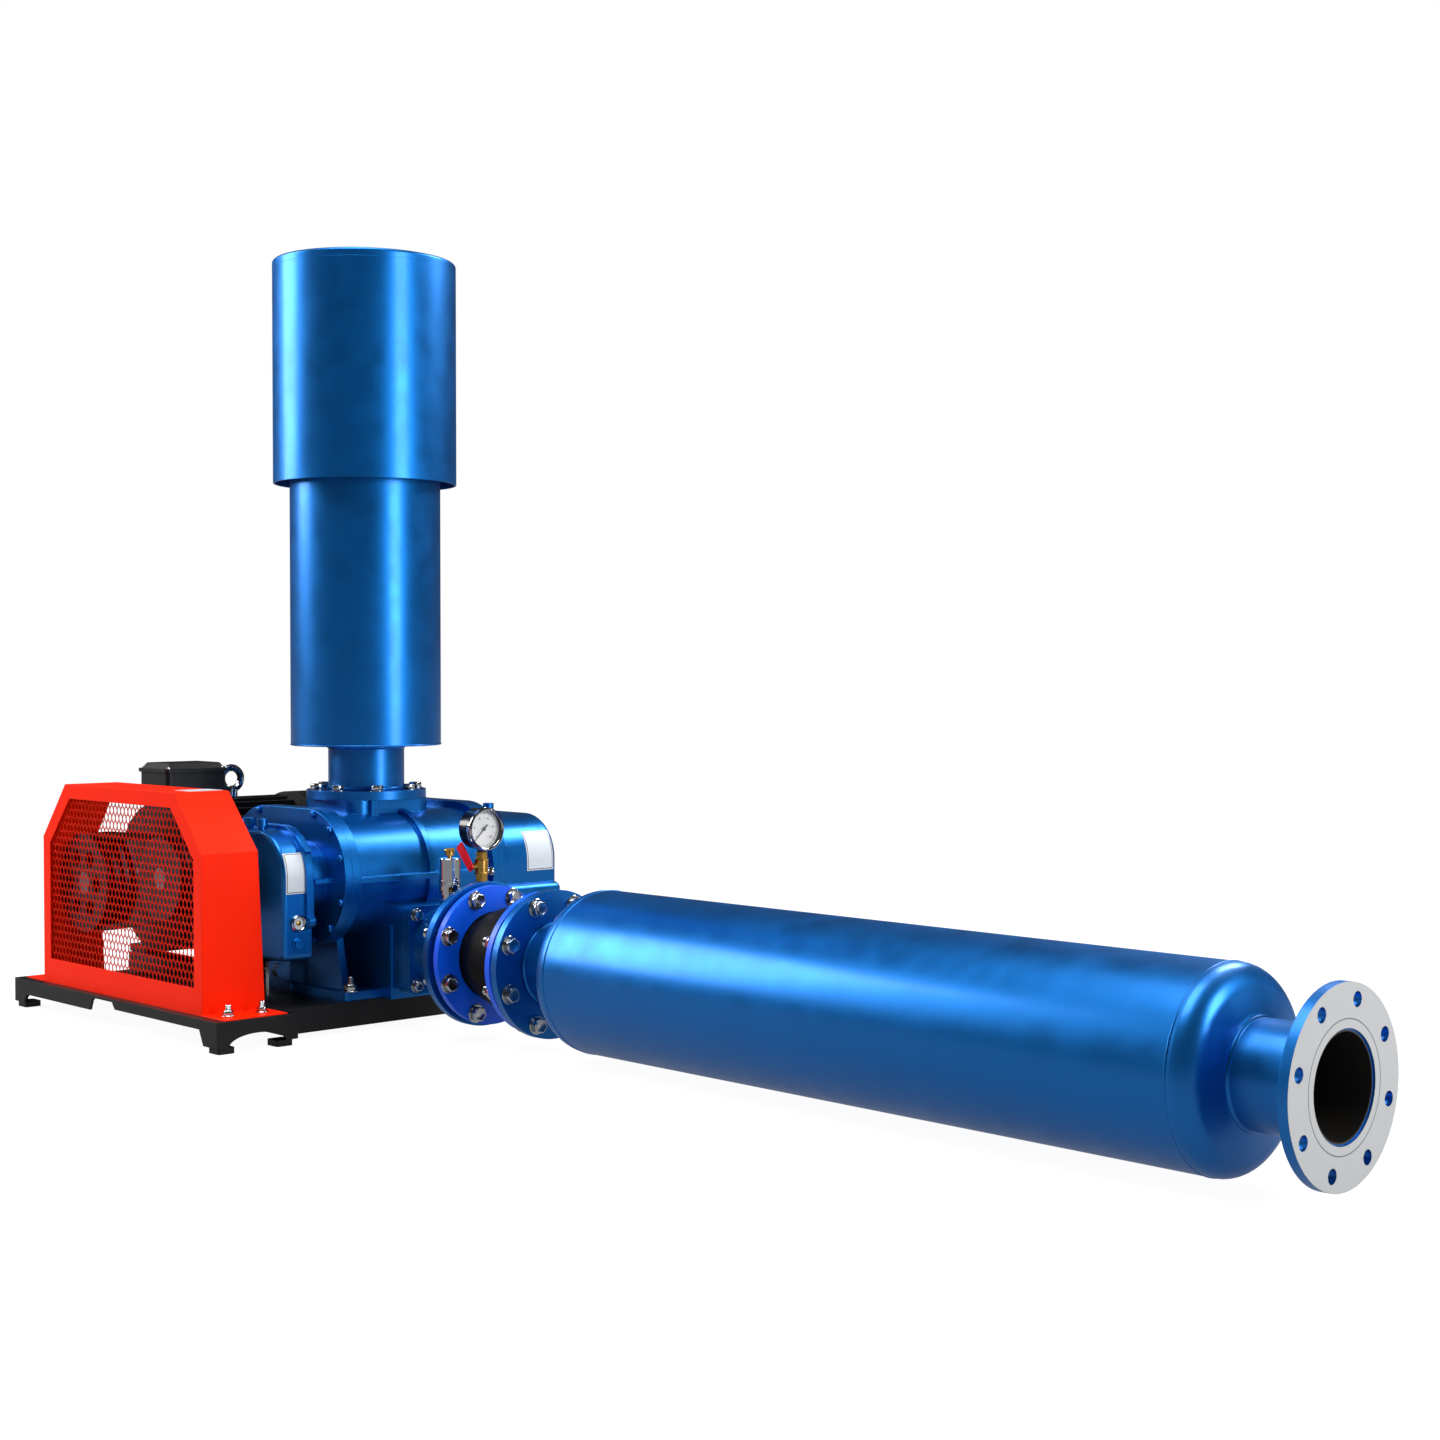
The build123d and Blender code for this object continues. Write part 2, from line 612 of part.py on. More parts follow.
def duct_ring(y, length, outer_r, inner_r):
    """Plain ring on the discharge axis, from y towards the outlet, added to the current part."""
    with BuildSketch(facing(y)) as ring:
        with Locations((0, DUCT_Z)):
            Circle(outer_r)
            if inner_r > 0:
                Circle(inner_r, mode=Mode.SUBTRACT)
    extrude(ring.sketch, amount=length)


def duct_holes(y, length, pcd, count, hole_r, start):
    """Bolt holes on a circle round the discharge axis, cut from the current part."""
    with BuildSketch(facing(y)) as holes:
        with Locations((0, DUCT_Z)):
            with PolarLocations(pcd / 2, count, start):
                Circle(hole_r)
    extrude(holes.sketch, amount=length, mode=Mode.SUBTRACT)


SQUARE_T = 18.0
SQUARE_BOLT = 71.0       # half spacing of the four corner bolts of the square flange
STUBS = ((GAUGE[0], GAUGE[1], 11.0, 304.0), (RELIEF[0], RELIEF[1], 14.0, 272.0))
with BuildPart() as discharge_spool:
    with BuildSketch(facing(CASING_FACE_Y)):
        with Locations((0, DUCT_Z)):
            RectangleRounded(176, 176, 14)
    extrude(amount=SQUARE_T)
    duct_ring(CASING_FACE_Y - SQUARE_T, CASING_FACE_Y - SQUARE_T - PUMP_FLANGE_Y, PIPE_R + 4, 0)
    duct_ring(PUMP_FLANGE_Y, DN150_T, DN150_OD / 2, 0)
    # threaded stubs for the gauge cock and the relief valve
    for x, y, radius, top in STUBS:
        with BuildSketch(Plane.XY.offset(DUCT_Z + 40)):
            with Locations((x, y)):
                Circle(radius + 5)
        extrude(amount=top - DUCT_Z - 40)
    with BuildSketch(facing(CASING_FACE_Y)):
        with Locations((0, DUCT_Z)):
            Circle(PIPE_BORE_R)
    extrude(amount=CASING_FACE_Y - JOINT_Y, mode=Mode.SUBTRACT)
    for x, y, radius, top in STUBS:
        with BuildSketch(Plane.XY.offset(DUCT_Z + 40)):
            with Locations((x, y)):
                Circle(radius - 4)
        extrude(amount=top - DUCT_Z - 40, mode=Mode.SUBTRACT)
    duct_holes(PUMP_FLANGE_Y, DN150_T, DN150_PCD, DN150_BOLTS, JOINT_HOLE_R, 22.5)
    with BuildSketch(facing(CASING_FACE_Y)):
        with Locations((0, DUCT_Z)):
            with GridLocations(2 * SQUARE_BOLT, 2 * SQUARE_BOLT, 2, 2):
                Circle(7)
    extrude(amount=SQUARE_T, mode=Mode.SUBTRACT)
discharge_spool.part.label = "discharge_spool"
export_step(discharge_spool.part, "parts/discharge_spool.step")

JOINT_FLANGES_Y = (JOINT_Y - LIP_T, SILENCER_Y + LIP_T + JOINT_FLANGE_T)
with BuildPart() as joint_flanges:
    for y in JOINT_FLANGES_Y:
        duct_ring(y, JOINT_FLANGE_T, JOINT_FLANGE_OD / 2, 86)
        duct_holes(y, JOINT_FLANGE_T, DN150_PCD, DN150_BOLTS, JOINT_HOLE_R, 22.5)
joint_flanges.part.label = "joint_flanges"
export_step(joint_flanges.part, "parts/joint_flanges.step")

BELLOWS_WALL = 10.0
with BuildPart() as rubber_joint:
    # sealing lips, necks through the flanges and one round arch between them
    with BuildSketch(Plane(origin=(0, 0, DUCT_Z), x_dir=(0, 1, 0), z_dir=(-1, 0, 0))):
        y_in, y_out = JOINT_Y, SILENCER_Y
        neck_r = PIPE_BORE_R + BELLOWS_WALL
        arch_in, arch_out = y_in - 40, y_out + 40
        middle = (y_in + y_out) / 2
        with BuildLine():
            Polyline((arch_in, neck_r), (y_in - LIP_T, neck_r), (y_in - LIP_T, LIP_R), (y_in, LIP_R),
                     (y_in, PIPE_BORE_R), (arch_in, PIPE_BORE_R))
            ThreePointArc((arch_in, PIPE_BORE_R), (middle, PIPE_BORE_R + 16), (arch_out, PIPE_BORE_R))
            Polyline((arch_out, PIPE_BORE_R), (y_out, PIPE_BORE_R), (y_out, LIP_R), (y_out + LIP_T, LIP_R),
                     (y_out + LIP_T, neck_r), (arch_out, neck_r))
            ThreePointArc((arch_out, neck_r), (middle, neck_r + 16), (arch_in, neck_r))
        make_face()
    revolve(axis=DUCT_AXIS)
rubber_joint.part.label = "rubber_joint"
export_step(rubber_joint.part, "parts/rubber_joint.step")

M20 = 20.0
with BuildPart() as joint_bolts:
    # both sets have their heads towards the outlet: on the joint's own flange, then on the silencer's
    for head_y, grip in ((JOINT_FLANGES_Y[0] - JOINT_FLANGE_T, JOINT_FLANGE_T + LIP_T + DN150_T),
                         (SILENCER_Y - DN150_T, JOINT_FLANGE_T + LIP_T + DN150_T)):
        with BuildSketch(facing(head_y)):
            with Locations((0, DUCT_Z)):
                with PolarLocations(DN150_PCD / 2, DN150_BOLTS, 22.5):
                    RegularPolygon(17.3, 6)
        extrude(amount=13)
        with BuildSketch(facing(head_y + grip + 34)):
            with Locations((0, DUCT_Z)):
                with PolarLocations(DN150_PCD / 2, DN150_BOLTS, 22.5):
                    Circle(M20 / 2)
        extrude(amount=grip + 34)
        with BuildSketch(facing(head_y + grip + 17)):
            with Locations((0, DUCT_Z)):
                with PolarLocations(DN150_PCD / 2, DN150_BOLTS, 22.5):
                    RegularPolygon(17.3, 6)
        extrude(amount=17)
joint_bolts.part.label = "joint_bolts"
export_step(joint_bolts.part, "parts/joint_bolts.step")

with BuildPart() as silencer_flanges:
    # the outlet flange is welded on a little turned from the other one
    for y, hole_r, first in ((SILENCER_Y, JOINT_HOLE_R, 22.5), (OUTLET_Y + DN150_T, DN150_HOLE_R, 30)):
        duct_ring(y, DN150_T, DN150_OD / 2, PIPE_R)
        duct_holes(y, DN150_T, DN150_PCD, DN150_BOLTS, hole_r, first)
silencer_flanges.part.label = "silencer_flanges"
export_step(silencer_flanges.part, "parts/silencer_flanges.step")

with BuildPart() as silencer_shell:
    duct_ring(SHELL_Y[0], SHELL_Y[0] - SHELL_Y[1], SHELL_R, SHELL_R - SHELL_T)
silencer_shell.part.label = "silencer_shell"
export_step(silencer_shell.part, "parts/silencer_shell.step")

with BuildPart() as silencer_heads:
    # dished heads, each welded round a neck of DN150 pipe that reaches to its flange
    for seam_y, sign, neck_end in ((SHELL_Y[0], 1, SILENCER_Y - 3), (SHELL_Y[1], -1, OUTLET_Y + 3)):
        crown_y = seam_y + sign * HEAD_DEPTH
        with BuildSketch(Plane(origin=(0, 0, DUCT_Z), x_dir=(0, 1, 0), z_dir=(-1, 0, 0))):
            with BuildLine():
                Line((seam_y, SHELL_R), (seam_y, SHELL_R - SHELL_T))
                Line((seam_y, SHELL_R - SHELL_T), (seam_y + sign * 6, SHELL_R - SHELL_T))
                ThreePointArc((seam_y + sign * 6, SHELL_R - SHELL_T), (seam_y + sign * 28, SHELL_R - 13),
                              (seam_y + sign * 38, SHELL_R - 34))
                Line((seam_y + sign * 38, SHELL_R - 34), (crown_y - sign * SHELL_T, PIPE_R - 2))
                Line((crown_y - sign * SHELL_T, PIPE_R - 2), (crown_y - sign * SHELL_T, PIPE_BORE_R))
                Line((crown_y - sign * SHELL_T, PIPE_BORE_R), (neck_end, PIPE_BORE_R))
                Line((neck_end, PIPE_BORE_R), (neck_end, PIPE_R))
                Line((neck_end, PIPE_R), (crown_y + sign * 3, PIPE_R))
                Line((crown_y + sign * 3, PIPE_R), (crown_y, PIPE_R + 7))
                Line((crown_y, PIPE_R + 7), (seam_y + sign * 42, SHELL_R - 32))
                ThreePointArc((seam_y + sign * 42, SHELL_R - 32), (seam_y + sign * 31, SHELL_R - 10),
                              (seam_y + sign * 7, SHELL_R))
                Line((seam_y + sign * 7, SHELL_R), (seam_y, SHELL_R))
            make_face()
        revolve(axis=DUCT_AXIS)
silencer_heads.part.label = "silencer_heads"
export_step(silencer_heads.part, "parts/silencer_heads.step")

with BuildPart() as silencer_core:
    # inner pipe with two baffle discs that divide the shell into chambers
    core_in, core_out = SHELL_Y[0] + HEAD_DEPTH - SHELL_T, SHELL_Y[1] - HEAD_DEPTH + SHELL_T
    duct_ring(core_in, core_in - core_out, PIPE_R - 2, PIPE_BORE_R)
    for share in (1 / 3, 2 / 3):
        baffle_y = SHELL_Y[0] + share * (SHELL_Y[1] - SHELL_Y[0])
        duct_ring(baffle_y, 3, SHELL_R - SHELL_T, PIPE_R - 2)
    # rows of slots that open the pipe into the chambers
    for share in (1 / 6, 1 / 2, 5 / 6):
        slot_y = SHELL_Y[0] + share * (SHELL_Y[1] - SHELL_Y[0])
        for step in range(-2, 3):
            with BuildSketch(Plane.XY.offset(DUCT_Z - PIPE_R)):
                with Locations((0, slot_y + step * 60)):
                    RectangleRounded(16, 36, 7)
            extrude(amount=2 * PIPE_R, mode=Mode.SUBTRACT)
silencer_core.part.label = "silencer_core"
export_step(silencer_core.part, "parts/silencer_core.step")

# ---- relief valve and pressure gauge --------------------------------------------------------------
RELIEF_X, RELIEF_Y = RELIEF
SEAT_Z = 282.0
CHAMBER_TOP = 353.0


def stand(x, y, z, length, radius, bore=0.0):
    """Upright round piece or tube, added to the current part."""
    with BuildSketch(Plane.XY.offset(z)) as ring:
        with Locations((x, y)):
            Circle(radius)
            if bore > 0:
                Circle(bore, mode=Mode.SUBTRACT)
    extrude(ring.sketch, amount=length)


with BuildPart() as relief_body:
    stand(RELIEF_X, RELIEF_Y, 272, 10, 17, 9)
    stand(RELIEF_X, RELIEF_Y, SEAT_Z, CHAMBER_TOP - SEAT_Z, 21, 18)
    stand(RELIEF_X, RELIEF_Y, SEAT_Z, 4, 21, 9)
    stand(RELIEF_X, RELIEF_Y, CHAMBER_TOP - 4, 4, 21, 4.55)
    # blow-off windows round the foot of the spring chamber
    with BuildSketch(Plane.XY.offset(SEAT_Z + 6)):
        for angle in (0, 60, 120):
            with Locations((RELIEF_X, RELIEF_Y)):
                Rectangle(60, 9, rotation=angle)
    extrude(amount=10, mode=Mode.SUBTRACT)
relief_body.part.label = "relief_body"
export_step(relief_body.part, "parts/relief_body.step")

with BuildPart() as relief_stem:
    stand(RELIEF_X, RELIEF_Y, SEAT_Z + 4.3, 5, 13)
    stand(RELIEF_X, RELIEF_Y, SEAT_Z + 4.3, 80, 4.5)
    stand(RELIEF_X, RELIEF_Y, 360, 8, 9)
    with BuildSketch(Plane.XZ.offset(-RELIEF_Y - 2.5)):
        with Locations((RELIEF_X, 369)):
            SlotCenterToCenter(12, 10)
    extrude(amount=5)
relief_stem.part.label = "relief_stem"
export_step(relief_stem.part, "parts/relief_stem.step")

SPRING_Z = (SEAT_Z + 9.6, CHAMBER_TOP - 4)
with BuildPart() as relief_spring:
    with BuildLine():
        Helix(pitch=(SPRING_Z[1] - SPRING_Z[0] - 3) / 6, height=SPRING_Z[1] - SPRING_Z[0] - 3, radius=10,
              center=(RELIEF_X, RELIEF_Y, SPRING_Z[0] + 1.5))
    with BuildSketch(Plane(origin=(RELIEF_X + 10, RELIEF_Y, SPRING_Z[0] + 1.5), z_dir=(0, 1, 0))):
        Rectangle(2.2, 2.2)
    sweep()
relief_spring.part.label = "relief_spring"
export_step(relief_spring.part, "parts/relief_spring.step")

GAUGE_X, GAUGE_Y, GAUGE_Z = GAUGE
COCK_Z = (304.0, 362.0)
PIVOT_Z = 334.0
with BuildPart() as gauge_cock:
    # brass ball valve with hexagon ends
    with BuildSketch(Plane.XY.offset(COCK_Z[0])):
        with Locations((GAUGE_X, GAUGE_Y)):
            RegularPolygon(13, 6)
    extrude(amount=14)
    stand(GAUGE_X, GAUGE_Y, COCK_Z[0] + 14, 28, 14)
    with BuildSketch(Plane.XY.offset(COCK_Z[0] + 42)):
        with Locations((GAUGE_X, GAUGE_Y)):
            RegularPolygon(13, 6)
    extrude(amount=16)
    with BuildSketch(Plane.XY.offset(COCK_Z[0])):
        with Locations((GAUGE_X, GAUGE_Y)):
            Circle(5)
    extrude(amount=COCK_Z[1] - COCK_Z[0], mode=Mode.SUBTRACT)
    # neck of the lever's spindle, on the side towards the casing's middle
    with BuildSketch(across(GAUGE_X - 13)):
        with Locations((GAUGE_Y, PIVOT_Z)):
            Circle(7)
    extrude(amount=-13)
    with BuildSketch(across(GAUGE_X - 26)):
        with Locations((GAUGE_Y, PIVOT_Z)):
            Circle(3.05)
    extrude(amount=16, mode=Mode.SUBTRACT)
gauge_cock.part.label = "gauge_cock"
export_step(gauge_cock.part, "parts/gauge_cock.step")

LEVER_X = GAUGE_X - 26.3
LEVER_LEAN = 41.0        # degrees back from upright when the cock is open
with BuildPart() as cock_lever:
    lean = radians(LEVER_LEAN)
    with BuildSketch(Plane((LEVER_X, GAUGE_Y, PIVOT_Z), x_dir=(0, cos(lean), -sin(lean)), z_dir=(1, 0, 0))):
        with BuildLine():
            Polyline((-8, -8), (8, -8), (11, 56), (-11, 56), close=True)
        make_face()
        fillet(vertices(), 4)
    extrude(amount=-3)
    with BuildSketch(across(LEVER_X + 8)):
        with Locations((GAUGE_Y, PIVOT_Z)):
            Circle(3)
    extrude(amount=-14)
cock_lever.part.label = "cock_lever"
export_step(cock_lever.part, "parts/cock_lever.step")

CASE_R = 41.0
BEZEL_R = 44.0
with BuildPart() as gauge_case:
    with BuildSketch(facing(GAUGE_Y + 20)):
        with Locations((GAUGE_X, GAUGE_Z)):
            Circle(CASE_R)
    extrude(amount=34)
    stand(GAUGE_X, GAUGE_Y, COCK_Z[1], 14, 8)
    with BuildSketch(facing(GAUGE_Y + 17)):
        with Locations((GAUGE_X, GAUGE_Z)):
            Circle(CASE_R - 2.5)
    extrude(amount=31, mode=Mode.SUBTRACT)
gauge_case.part.label = "gauge_case"
export_step(gauge_case.part, "parts/gauge_case.step")

with BuildPart() as gauge_bezel:
    with BuildSketch(facing(GAUGE_Y - 8)):
        with Locations((GAUGE_X, GAUGE_Z)):
            Circle(BEZEL_R)
            Circle(CASE_R, mode=Mode.SUBTRACT)
    extrude(amount=14)
    with BuildSketch(facing(GAUGE_Y - 18)):
        with Locations((GAUGE_X, GAUGE_Z)):
            Circle(BEZEL_R)
            Circle(BEZEL_R - 7, mode=Mode.SUBTRACT)
    extrude(amount=4)
gauge_bezel.part.label = "gauge_bezel"
export_step(gauge_bezel.part, "parts/gauge_bezel.step")

with BuildPart() as gauge_dial:
    with BuildSketch(facing(GAUGE_Y - 6)):
        with Locations((GAUGE_X, GAUGE_Z)):
            Circle(CASE_R - 2.5)
            Circle(1.55, mode=Mode.SUBTRACT)
    extrude(amount=1.5)
gauge_dial.part.label = "gauge_dial"
export_step(gauge_dial.part, "parts/gauge_dial.step")

with BuildPart() as gauge_glass:
    with BuildSketch(facing(GAUGE_Y - 15)):
        with Locations((GAUGE_X, GAUGE_Z)):
            Circle(CASE_R)
    extrude(amount=3)
gauge_glass.part.label = "gauge_glass"
export_step(gauge_glass.part, "parts/gauge_glass.step")

NEEDLE_REST = 225.0      # degrees round from +X: the zero mark, at the lower left
with BuildPart() as gauge_needle:
    with BuildSketch(Plane(origin=(GAUGE_X, GAUGE_Y - 9, GAUGE_Z), x_dir=(1, 0, 0), z_dir=(0, -1, 0))):
        Circle(4)
        with Locations(Rotation(0, 0, NEEDLE_REST)):
            with Locations((10, 0)):
                Trapezoid(3.4, 44, 88.7, rotation=-90)
    extrude(amount=1)
    with BuildSketch(facing(GAUGE_Y - 4)):
        with Locations((GAUGE_X, GAUGE_Z)):
            Circle(1.5)
    extrude(amount=6)
gauge_needle.part.label = "gauge_needle"
export_step(gauge_needle.part, "parts/gauge_needle.step")

# ---- inlet ------------------------------------------------------------------------------------
with BuildPart() as inlet_pipe:
    stand(0, BLOWER_Y, PAD_TOP, INLET_FLANGE_T, INLET_FLANGE_R, PIPE_BORE_R)
    stand(0, BLOWER_Y, PAD_TOP, BODY_Z[0] - PAD_TOP, PIPE_R, PIPE_BORE_R)
    with BuildSketch(Plane.XY.offset(PAD_TOP)):
        with Locations((0, BLOWER_Y)):
            with PolarLocations(INLET_PCD / 2, 8, 22.5):
                Circle(9)
    extrude(amount=INLET_FLANGE_T, mode=Mode.SUBTRACT)
inlet_pipe.part.label = "inlet_pipe"
export_step(inlet_pipe.part, "parts/inlet_pipe.step")

with BuildPart() as inlet_silencer:
    stand(0, BLOWER_Y, BODY_Z[0], BODY_Z[1] - BODY_Z[0], BODY_R, BODY_R - SHEET)
    stand(0, BLOWER_Y, BODY_Z[0], SHEET, BODY_R, PIPE_BORE_R)
    stand(0, BLOWER_Y, BODY_Z[1] - SHEET, SHEET, BODY_R, PIPE_BORE_R)
    # inner pipe that quietens the air on its way down
    stand(0, BLOWER_Y, BODY_Z[0], 200, PIPE_R, PIPE_BORE_R)
    stand(0, BLOWER_Y, BODY_Z[1] - 200, 200, PIPE_R, PIPE_BORE_R)
inlet_silencer.part.label = "inlet_silencer"
export_step(inlet_silencer.part, "parts/inlet_silencer.step")

with BuildPart() as filter_element:
    # pleated ring with solid end caps
    with BuildSketch(Plane.XY.offset(BODY_Z[1] + 12)):
        with Locations((0, BLOWER_Y)):
            Circle(130)
            Circle(112, mode=Mode.SUBTRACT)
            with PolarLocations(134, 24):
                Rectangle(28, 12, mode=Mode.SUBTRACT)
    extrude(amount=330)
    stand(0, BLOWER_Y, BODY_Z[1], 12, 134, 84)
    stand(0, BLOWER_Y, BODY_Z[1] + 342, 12, 134)
filter_element.part.label = "filter_element"
export_step(filter_element.part, "parts/filter_element.step")

with BuildPart() as inlet_hood:
    stand(0, BLOWER_Y, HOOD_Z[0], HOOD_Z[1] - HOOD_Z[0], HOOD_R, HOOD_R - SHEET)
    # three straps carry the hood on the silencer body and leave the ring open for air
    with BuildSketch(Plane.XY.offset(HOOD_Z[0] + 12)):
        with Locations((0, BLOWER_Y)):
            with PolarLocations((BODY_R + HOOD_R - SHEET) / 2, 3, 90):
                Rectangle(HOOD_R - SHEET - BODY_R + 1, 16)
            Circle(BODY_R, mode=Mode.SUBTRACT)
    extrude(amount=24)
inlet_hood.part.label = "inlet_hood"
export_step(inlet_hood.part, "parts/inlet_hood.step")

with BuildPart() as hood_lid:
    stand(0, BLOWER_Y, HOOD_Z[1], LID_T, HOOD_R, 0)
    fillet(hood_lid.faces().sort_by(Axis.Z)[-1].edges(), 6)
    stand(0, BLOWER_Y, HOOD_Z[1] - 12, 12, HOOD_R - SHEET, HOOD_R - 2 * SHEET)
    with BuildSketch(Plane.XY.offset(HOOD_Z[1])):
        with Locations((0, BLOWER_Y)):
            Circle(HOOD_R - 2 * SHEET)
    extrude(amount=LID_T - SHEET, mode=Mode.SUBTRACT)
hood_lid.part.label = "hood_lid"
export_step(hood_lid.part, "parts/hood_lid.step")

# ---- belt guard ---------------------------------------------------------------------------------
GUARD_CUT = 100.0
GUARD_FLARE = 20.0
GUARD_BORDER = 30.0      # frame left round the mesh window


def guard_outline(inset, bottom):
    """Guard's side outline with both shoulders cut off, on an across() plane."""
    front, back = GUARD_Y[0] + inset, GUARD_Y[1] - inset
    shoulder, top = GUARD_SHOULDER - inset * 0.4, GUARD_TOP - inset
    with BuildLine() as outline:
        Polyline((front, bottom), (front, shoulder), (front + GUARD_CUT - inset * 0.4, top),
                 (back - GUARD_CUT + inset * 0.4, top), (back, shoulder), (back, bottom), close=True)
    make_face(outline.edges())


with BuildPart() as guard_shell:
    with BuildSketch(across(GUARD_X[0])):
        guard_outline(0, BASE_TOP)
    extrude(amount=GUARD_X[1] - GUARD_X[0])
    with BuildSketch(across(GUARD_X[0] + GUARD_T)):
        guard_outline(GUARD_T, BASE_TOP)
    extrude(amount=GUARD_X[1] - GUARD_X[0], mode=Mode.SUBTRACT)
    with BuildSketch(across(GUARD_X[0])):
        guard_outline(GUARD_BORDER, BASE_TOP + 52)
    extrude(amount=GUARD_T, mode=Mode.SUBTRACT)
    # the machine side leans in towards the top
    with BuildSketch(facing(GUARD_Y[1] + 1)):
        with BuildLine():
            Polyline((GUARD_X[1], BASE_TOP), (GUARD_X[1] + 1, GUARD_TOP + 1),
                     (GUARD_X[1] - GUARD_FLARE, GUARD_TOP + 1), close=True)
        make_face()
    extrude(amount=GUARD_Y[1] - GUARD_Y[0] + 2, mode=Mode.SUBTRACT)
    # foot flanges
    for y, depth in ((GUARD_Y[0], -82), (GUARD_Y[1], 82)):
        with BuildSketch(Plane.XY.offset(BASE_TOP)):
            with Locations(((GUARD_X[0] + GUARD_X[1]) / 2, y + depth / 2)):
                Rectangle(GUARD_X[1] - GUARD_X[0], abs(depth))
                with GridLocations(74, 1, 2, 1):
                    Circle(6.5, mode=Mode.SUBTRACT)
        extrude(amount=GUARD_T)
guard_shell.part.label = "guard_shell"
export_step(guard_shell.part, "parts/guard_shell.step")

MESH_T = 2.0
MESH_PITCH = (44.0, 30.0)
MESH_HEX = 13.5
MESH_EDGE = 48.0         # no opening nearer than this to the guard's outline
with BuildPart() as guard_mesh:
    # expanded sheet behind the window: staggered hexagon openings
    mesh_x = GUARD_X[0] + GUARD_T
    with BuildSketch(across(mesh_x)):
        guard_outline(14, BASE_TOP + 36)
    extrude(amount=MESH_T)
    openings = []
    rows = int((GUARD_TOP - BASE_TOP) / (MESH_PITCH[1] / 2))
    columns = int((GUARD_Y[1] - GUARD_Y[0]) / MESH_PITCH[0])
    for row in range(rows):
        z = BASE_TOP + 72 + row * MESH_PITCH[1] / 2
        for column in range(columns + 1):
            y = GUARD_Y[0] + 48 + (column + (row % 2) / 2) * MESH_PITCH[0]
            cut_slope = GUARD_CUT / (GUARD_TOP - GUARD_SHOULDER)
            reach = MESH_EDGE + max(0, z - GUARD_SHOULDER + 30) * cut_slope
            if GUARD_Y[0] + reach < y < GUARD_Y[1] - reach and z < GUARD_TOP - MESH_EDGE:
                openings.append((y, z))
    with BuildSketch(across(mesh_x)):
        with Locations(*openings):
            RegularPolygon(MESH_HEX, 6)
    extrude(amount=MESH_T, mode=Mode.SUBTRACT)
guard_mesh.part.label = "guard_mesh"
export_step(guard_mesh.part, "parts/guard_mesh.step")

# ---- motor ----------------------------------------------------------------------------------------
def motor_disc(x, length, radius, bore=0.0):
    """Round piece on the motor axis, from x towards +X, added to the current part."""
    with BuildSketch(across(x)) as ring:
        with Locations((MOTOR_Y, MOTOR_Z)):
            Circle(radius)
            if bore > 0:
                Circle(bore, mode=Mode.SUBTRACT)
    extrude(ring.sketch, amount=length)


FOOT_TOP = BASE_TOP + RAIL_H + 16
BOX_X, BOX_Y, BOX_Z = (-278.0, -133.0), (MOTOR_Y - 60, MOTOR_Y + 60), (456.0, 508.0)
STATOR_R = 126.0
with BuildPart() as motor_frame:
    motor_disc(MOTOR_X[0], MOTOR_X[1] - MOTOR_X[0], MOTOR_BARREL_R, STATOR_R)
    # cooling fins all round, left out where the feet are
    with BuildSketch(across(MOTOR_X[0] + 8)):
        with Locations((MOTOR_Y, MOTOR_Z)):
            with PolarLocations(MOTOR_FIN_R - 12, 28, 315, 270):
                Rectangle(24, 3.5)
    extrude(amount=MOTOR_X[1] - MOTOR_X[0] - 16)
    with BuildSketch(Plane.XY.offset(BASE_TOP + RAIL_H)):
        for side in (-1, 1):
            with Locations(((MOTOR_X[0] + MOTOR_X[1]) / 2, MOTOR_Y + side * MOTOR_FOOT)):
                Rectangle(270, 70)
    extrude(amount=16)
    for side in (-1, 1):
        with BuildSketch(Plane.XY.offset(BASE_TOP + RAIL_H)):
            with Locations(((MOTOR_X[0] + MOTOR_X[1]) / 2, MOTOR_Y + side * 113)):
                Rectangle(230, 16)
        extrude(amount=120)
    # flat seat for the terminal box
    with BuildSketch(Plane.XY.offset(MOTOR_Z + 110)):
        with Locations((-205, MOTOR_Y)):
            Rectangle(110, 96)
    extrude(amount=BOX_Z[0] - MOTOR_Z - 110)
    with BuildSketch(across(MOTOR_X[0])):
        with Locations((MOTOR_Y, MOTOR_Z)):
            Circle(STATOR_R)
    extrude(amount=MOTOR_X[1] - MOTOR_X[0], mode=Mode.SUBTRACT)
motor_frame.part.label = "motor_frame"
export_step(motor_frame.part, "parts/motor_frame.step")

AIR_GAP_R = 82.0
with BuildPart() as motor_stator:
    motor_disc(MOTOR_X[0] + 60, MOTOR_X[1] - MOTOR_X[0] - 120, STATOR_R, AIR_GAP_R)
motor_stator.part.label = "motor_stator"
export_step(motor_stator.part, "parts/motor_stator.step")

BELL_T = 24.0
with BuildPart() as motor_end_bells:
    for x, sign in ((MOTOR_X[0], -1), (MOTOR_X[1], 1)):
        motor_disc(x, sign * 12, 160, MOTOR_SHAFT_R + 4)
        motor_disc(x, sign * BELL_T, 96, MOTOR_SHAFT_R + 4)
        motor_disc(x, -sign * 20, STATOR_R, 45)
        motor_disc(x, -sign * 20, 45, MOTOR_SHAFT_R + RUN_FIT)
motor_end_bells.part.label = "motor_end_bells"
export_step(motor_end_bells.part, "parts/motor_end_bells.step")

with BuildPart() as motor_rotor:
    motor_disc(BELT_X[0] - 12, 114 - BELT_X[0] + 12, MOTOR_SHAFT_R)
    motor_disc(MOTOR_X[0] + 64, MOTOR_X[1] - MOTOR_X[0] - 128, AIR_GAP_R - 1)
motor_rotor.part.label = "motor_rotor"
export_step(motor_rotor.part, "parts/motor_rotor.step")

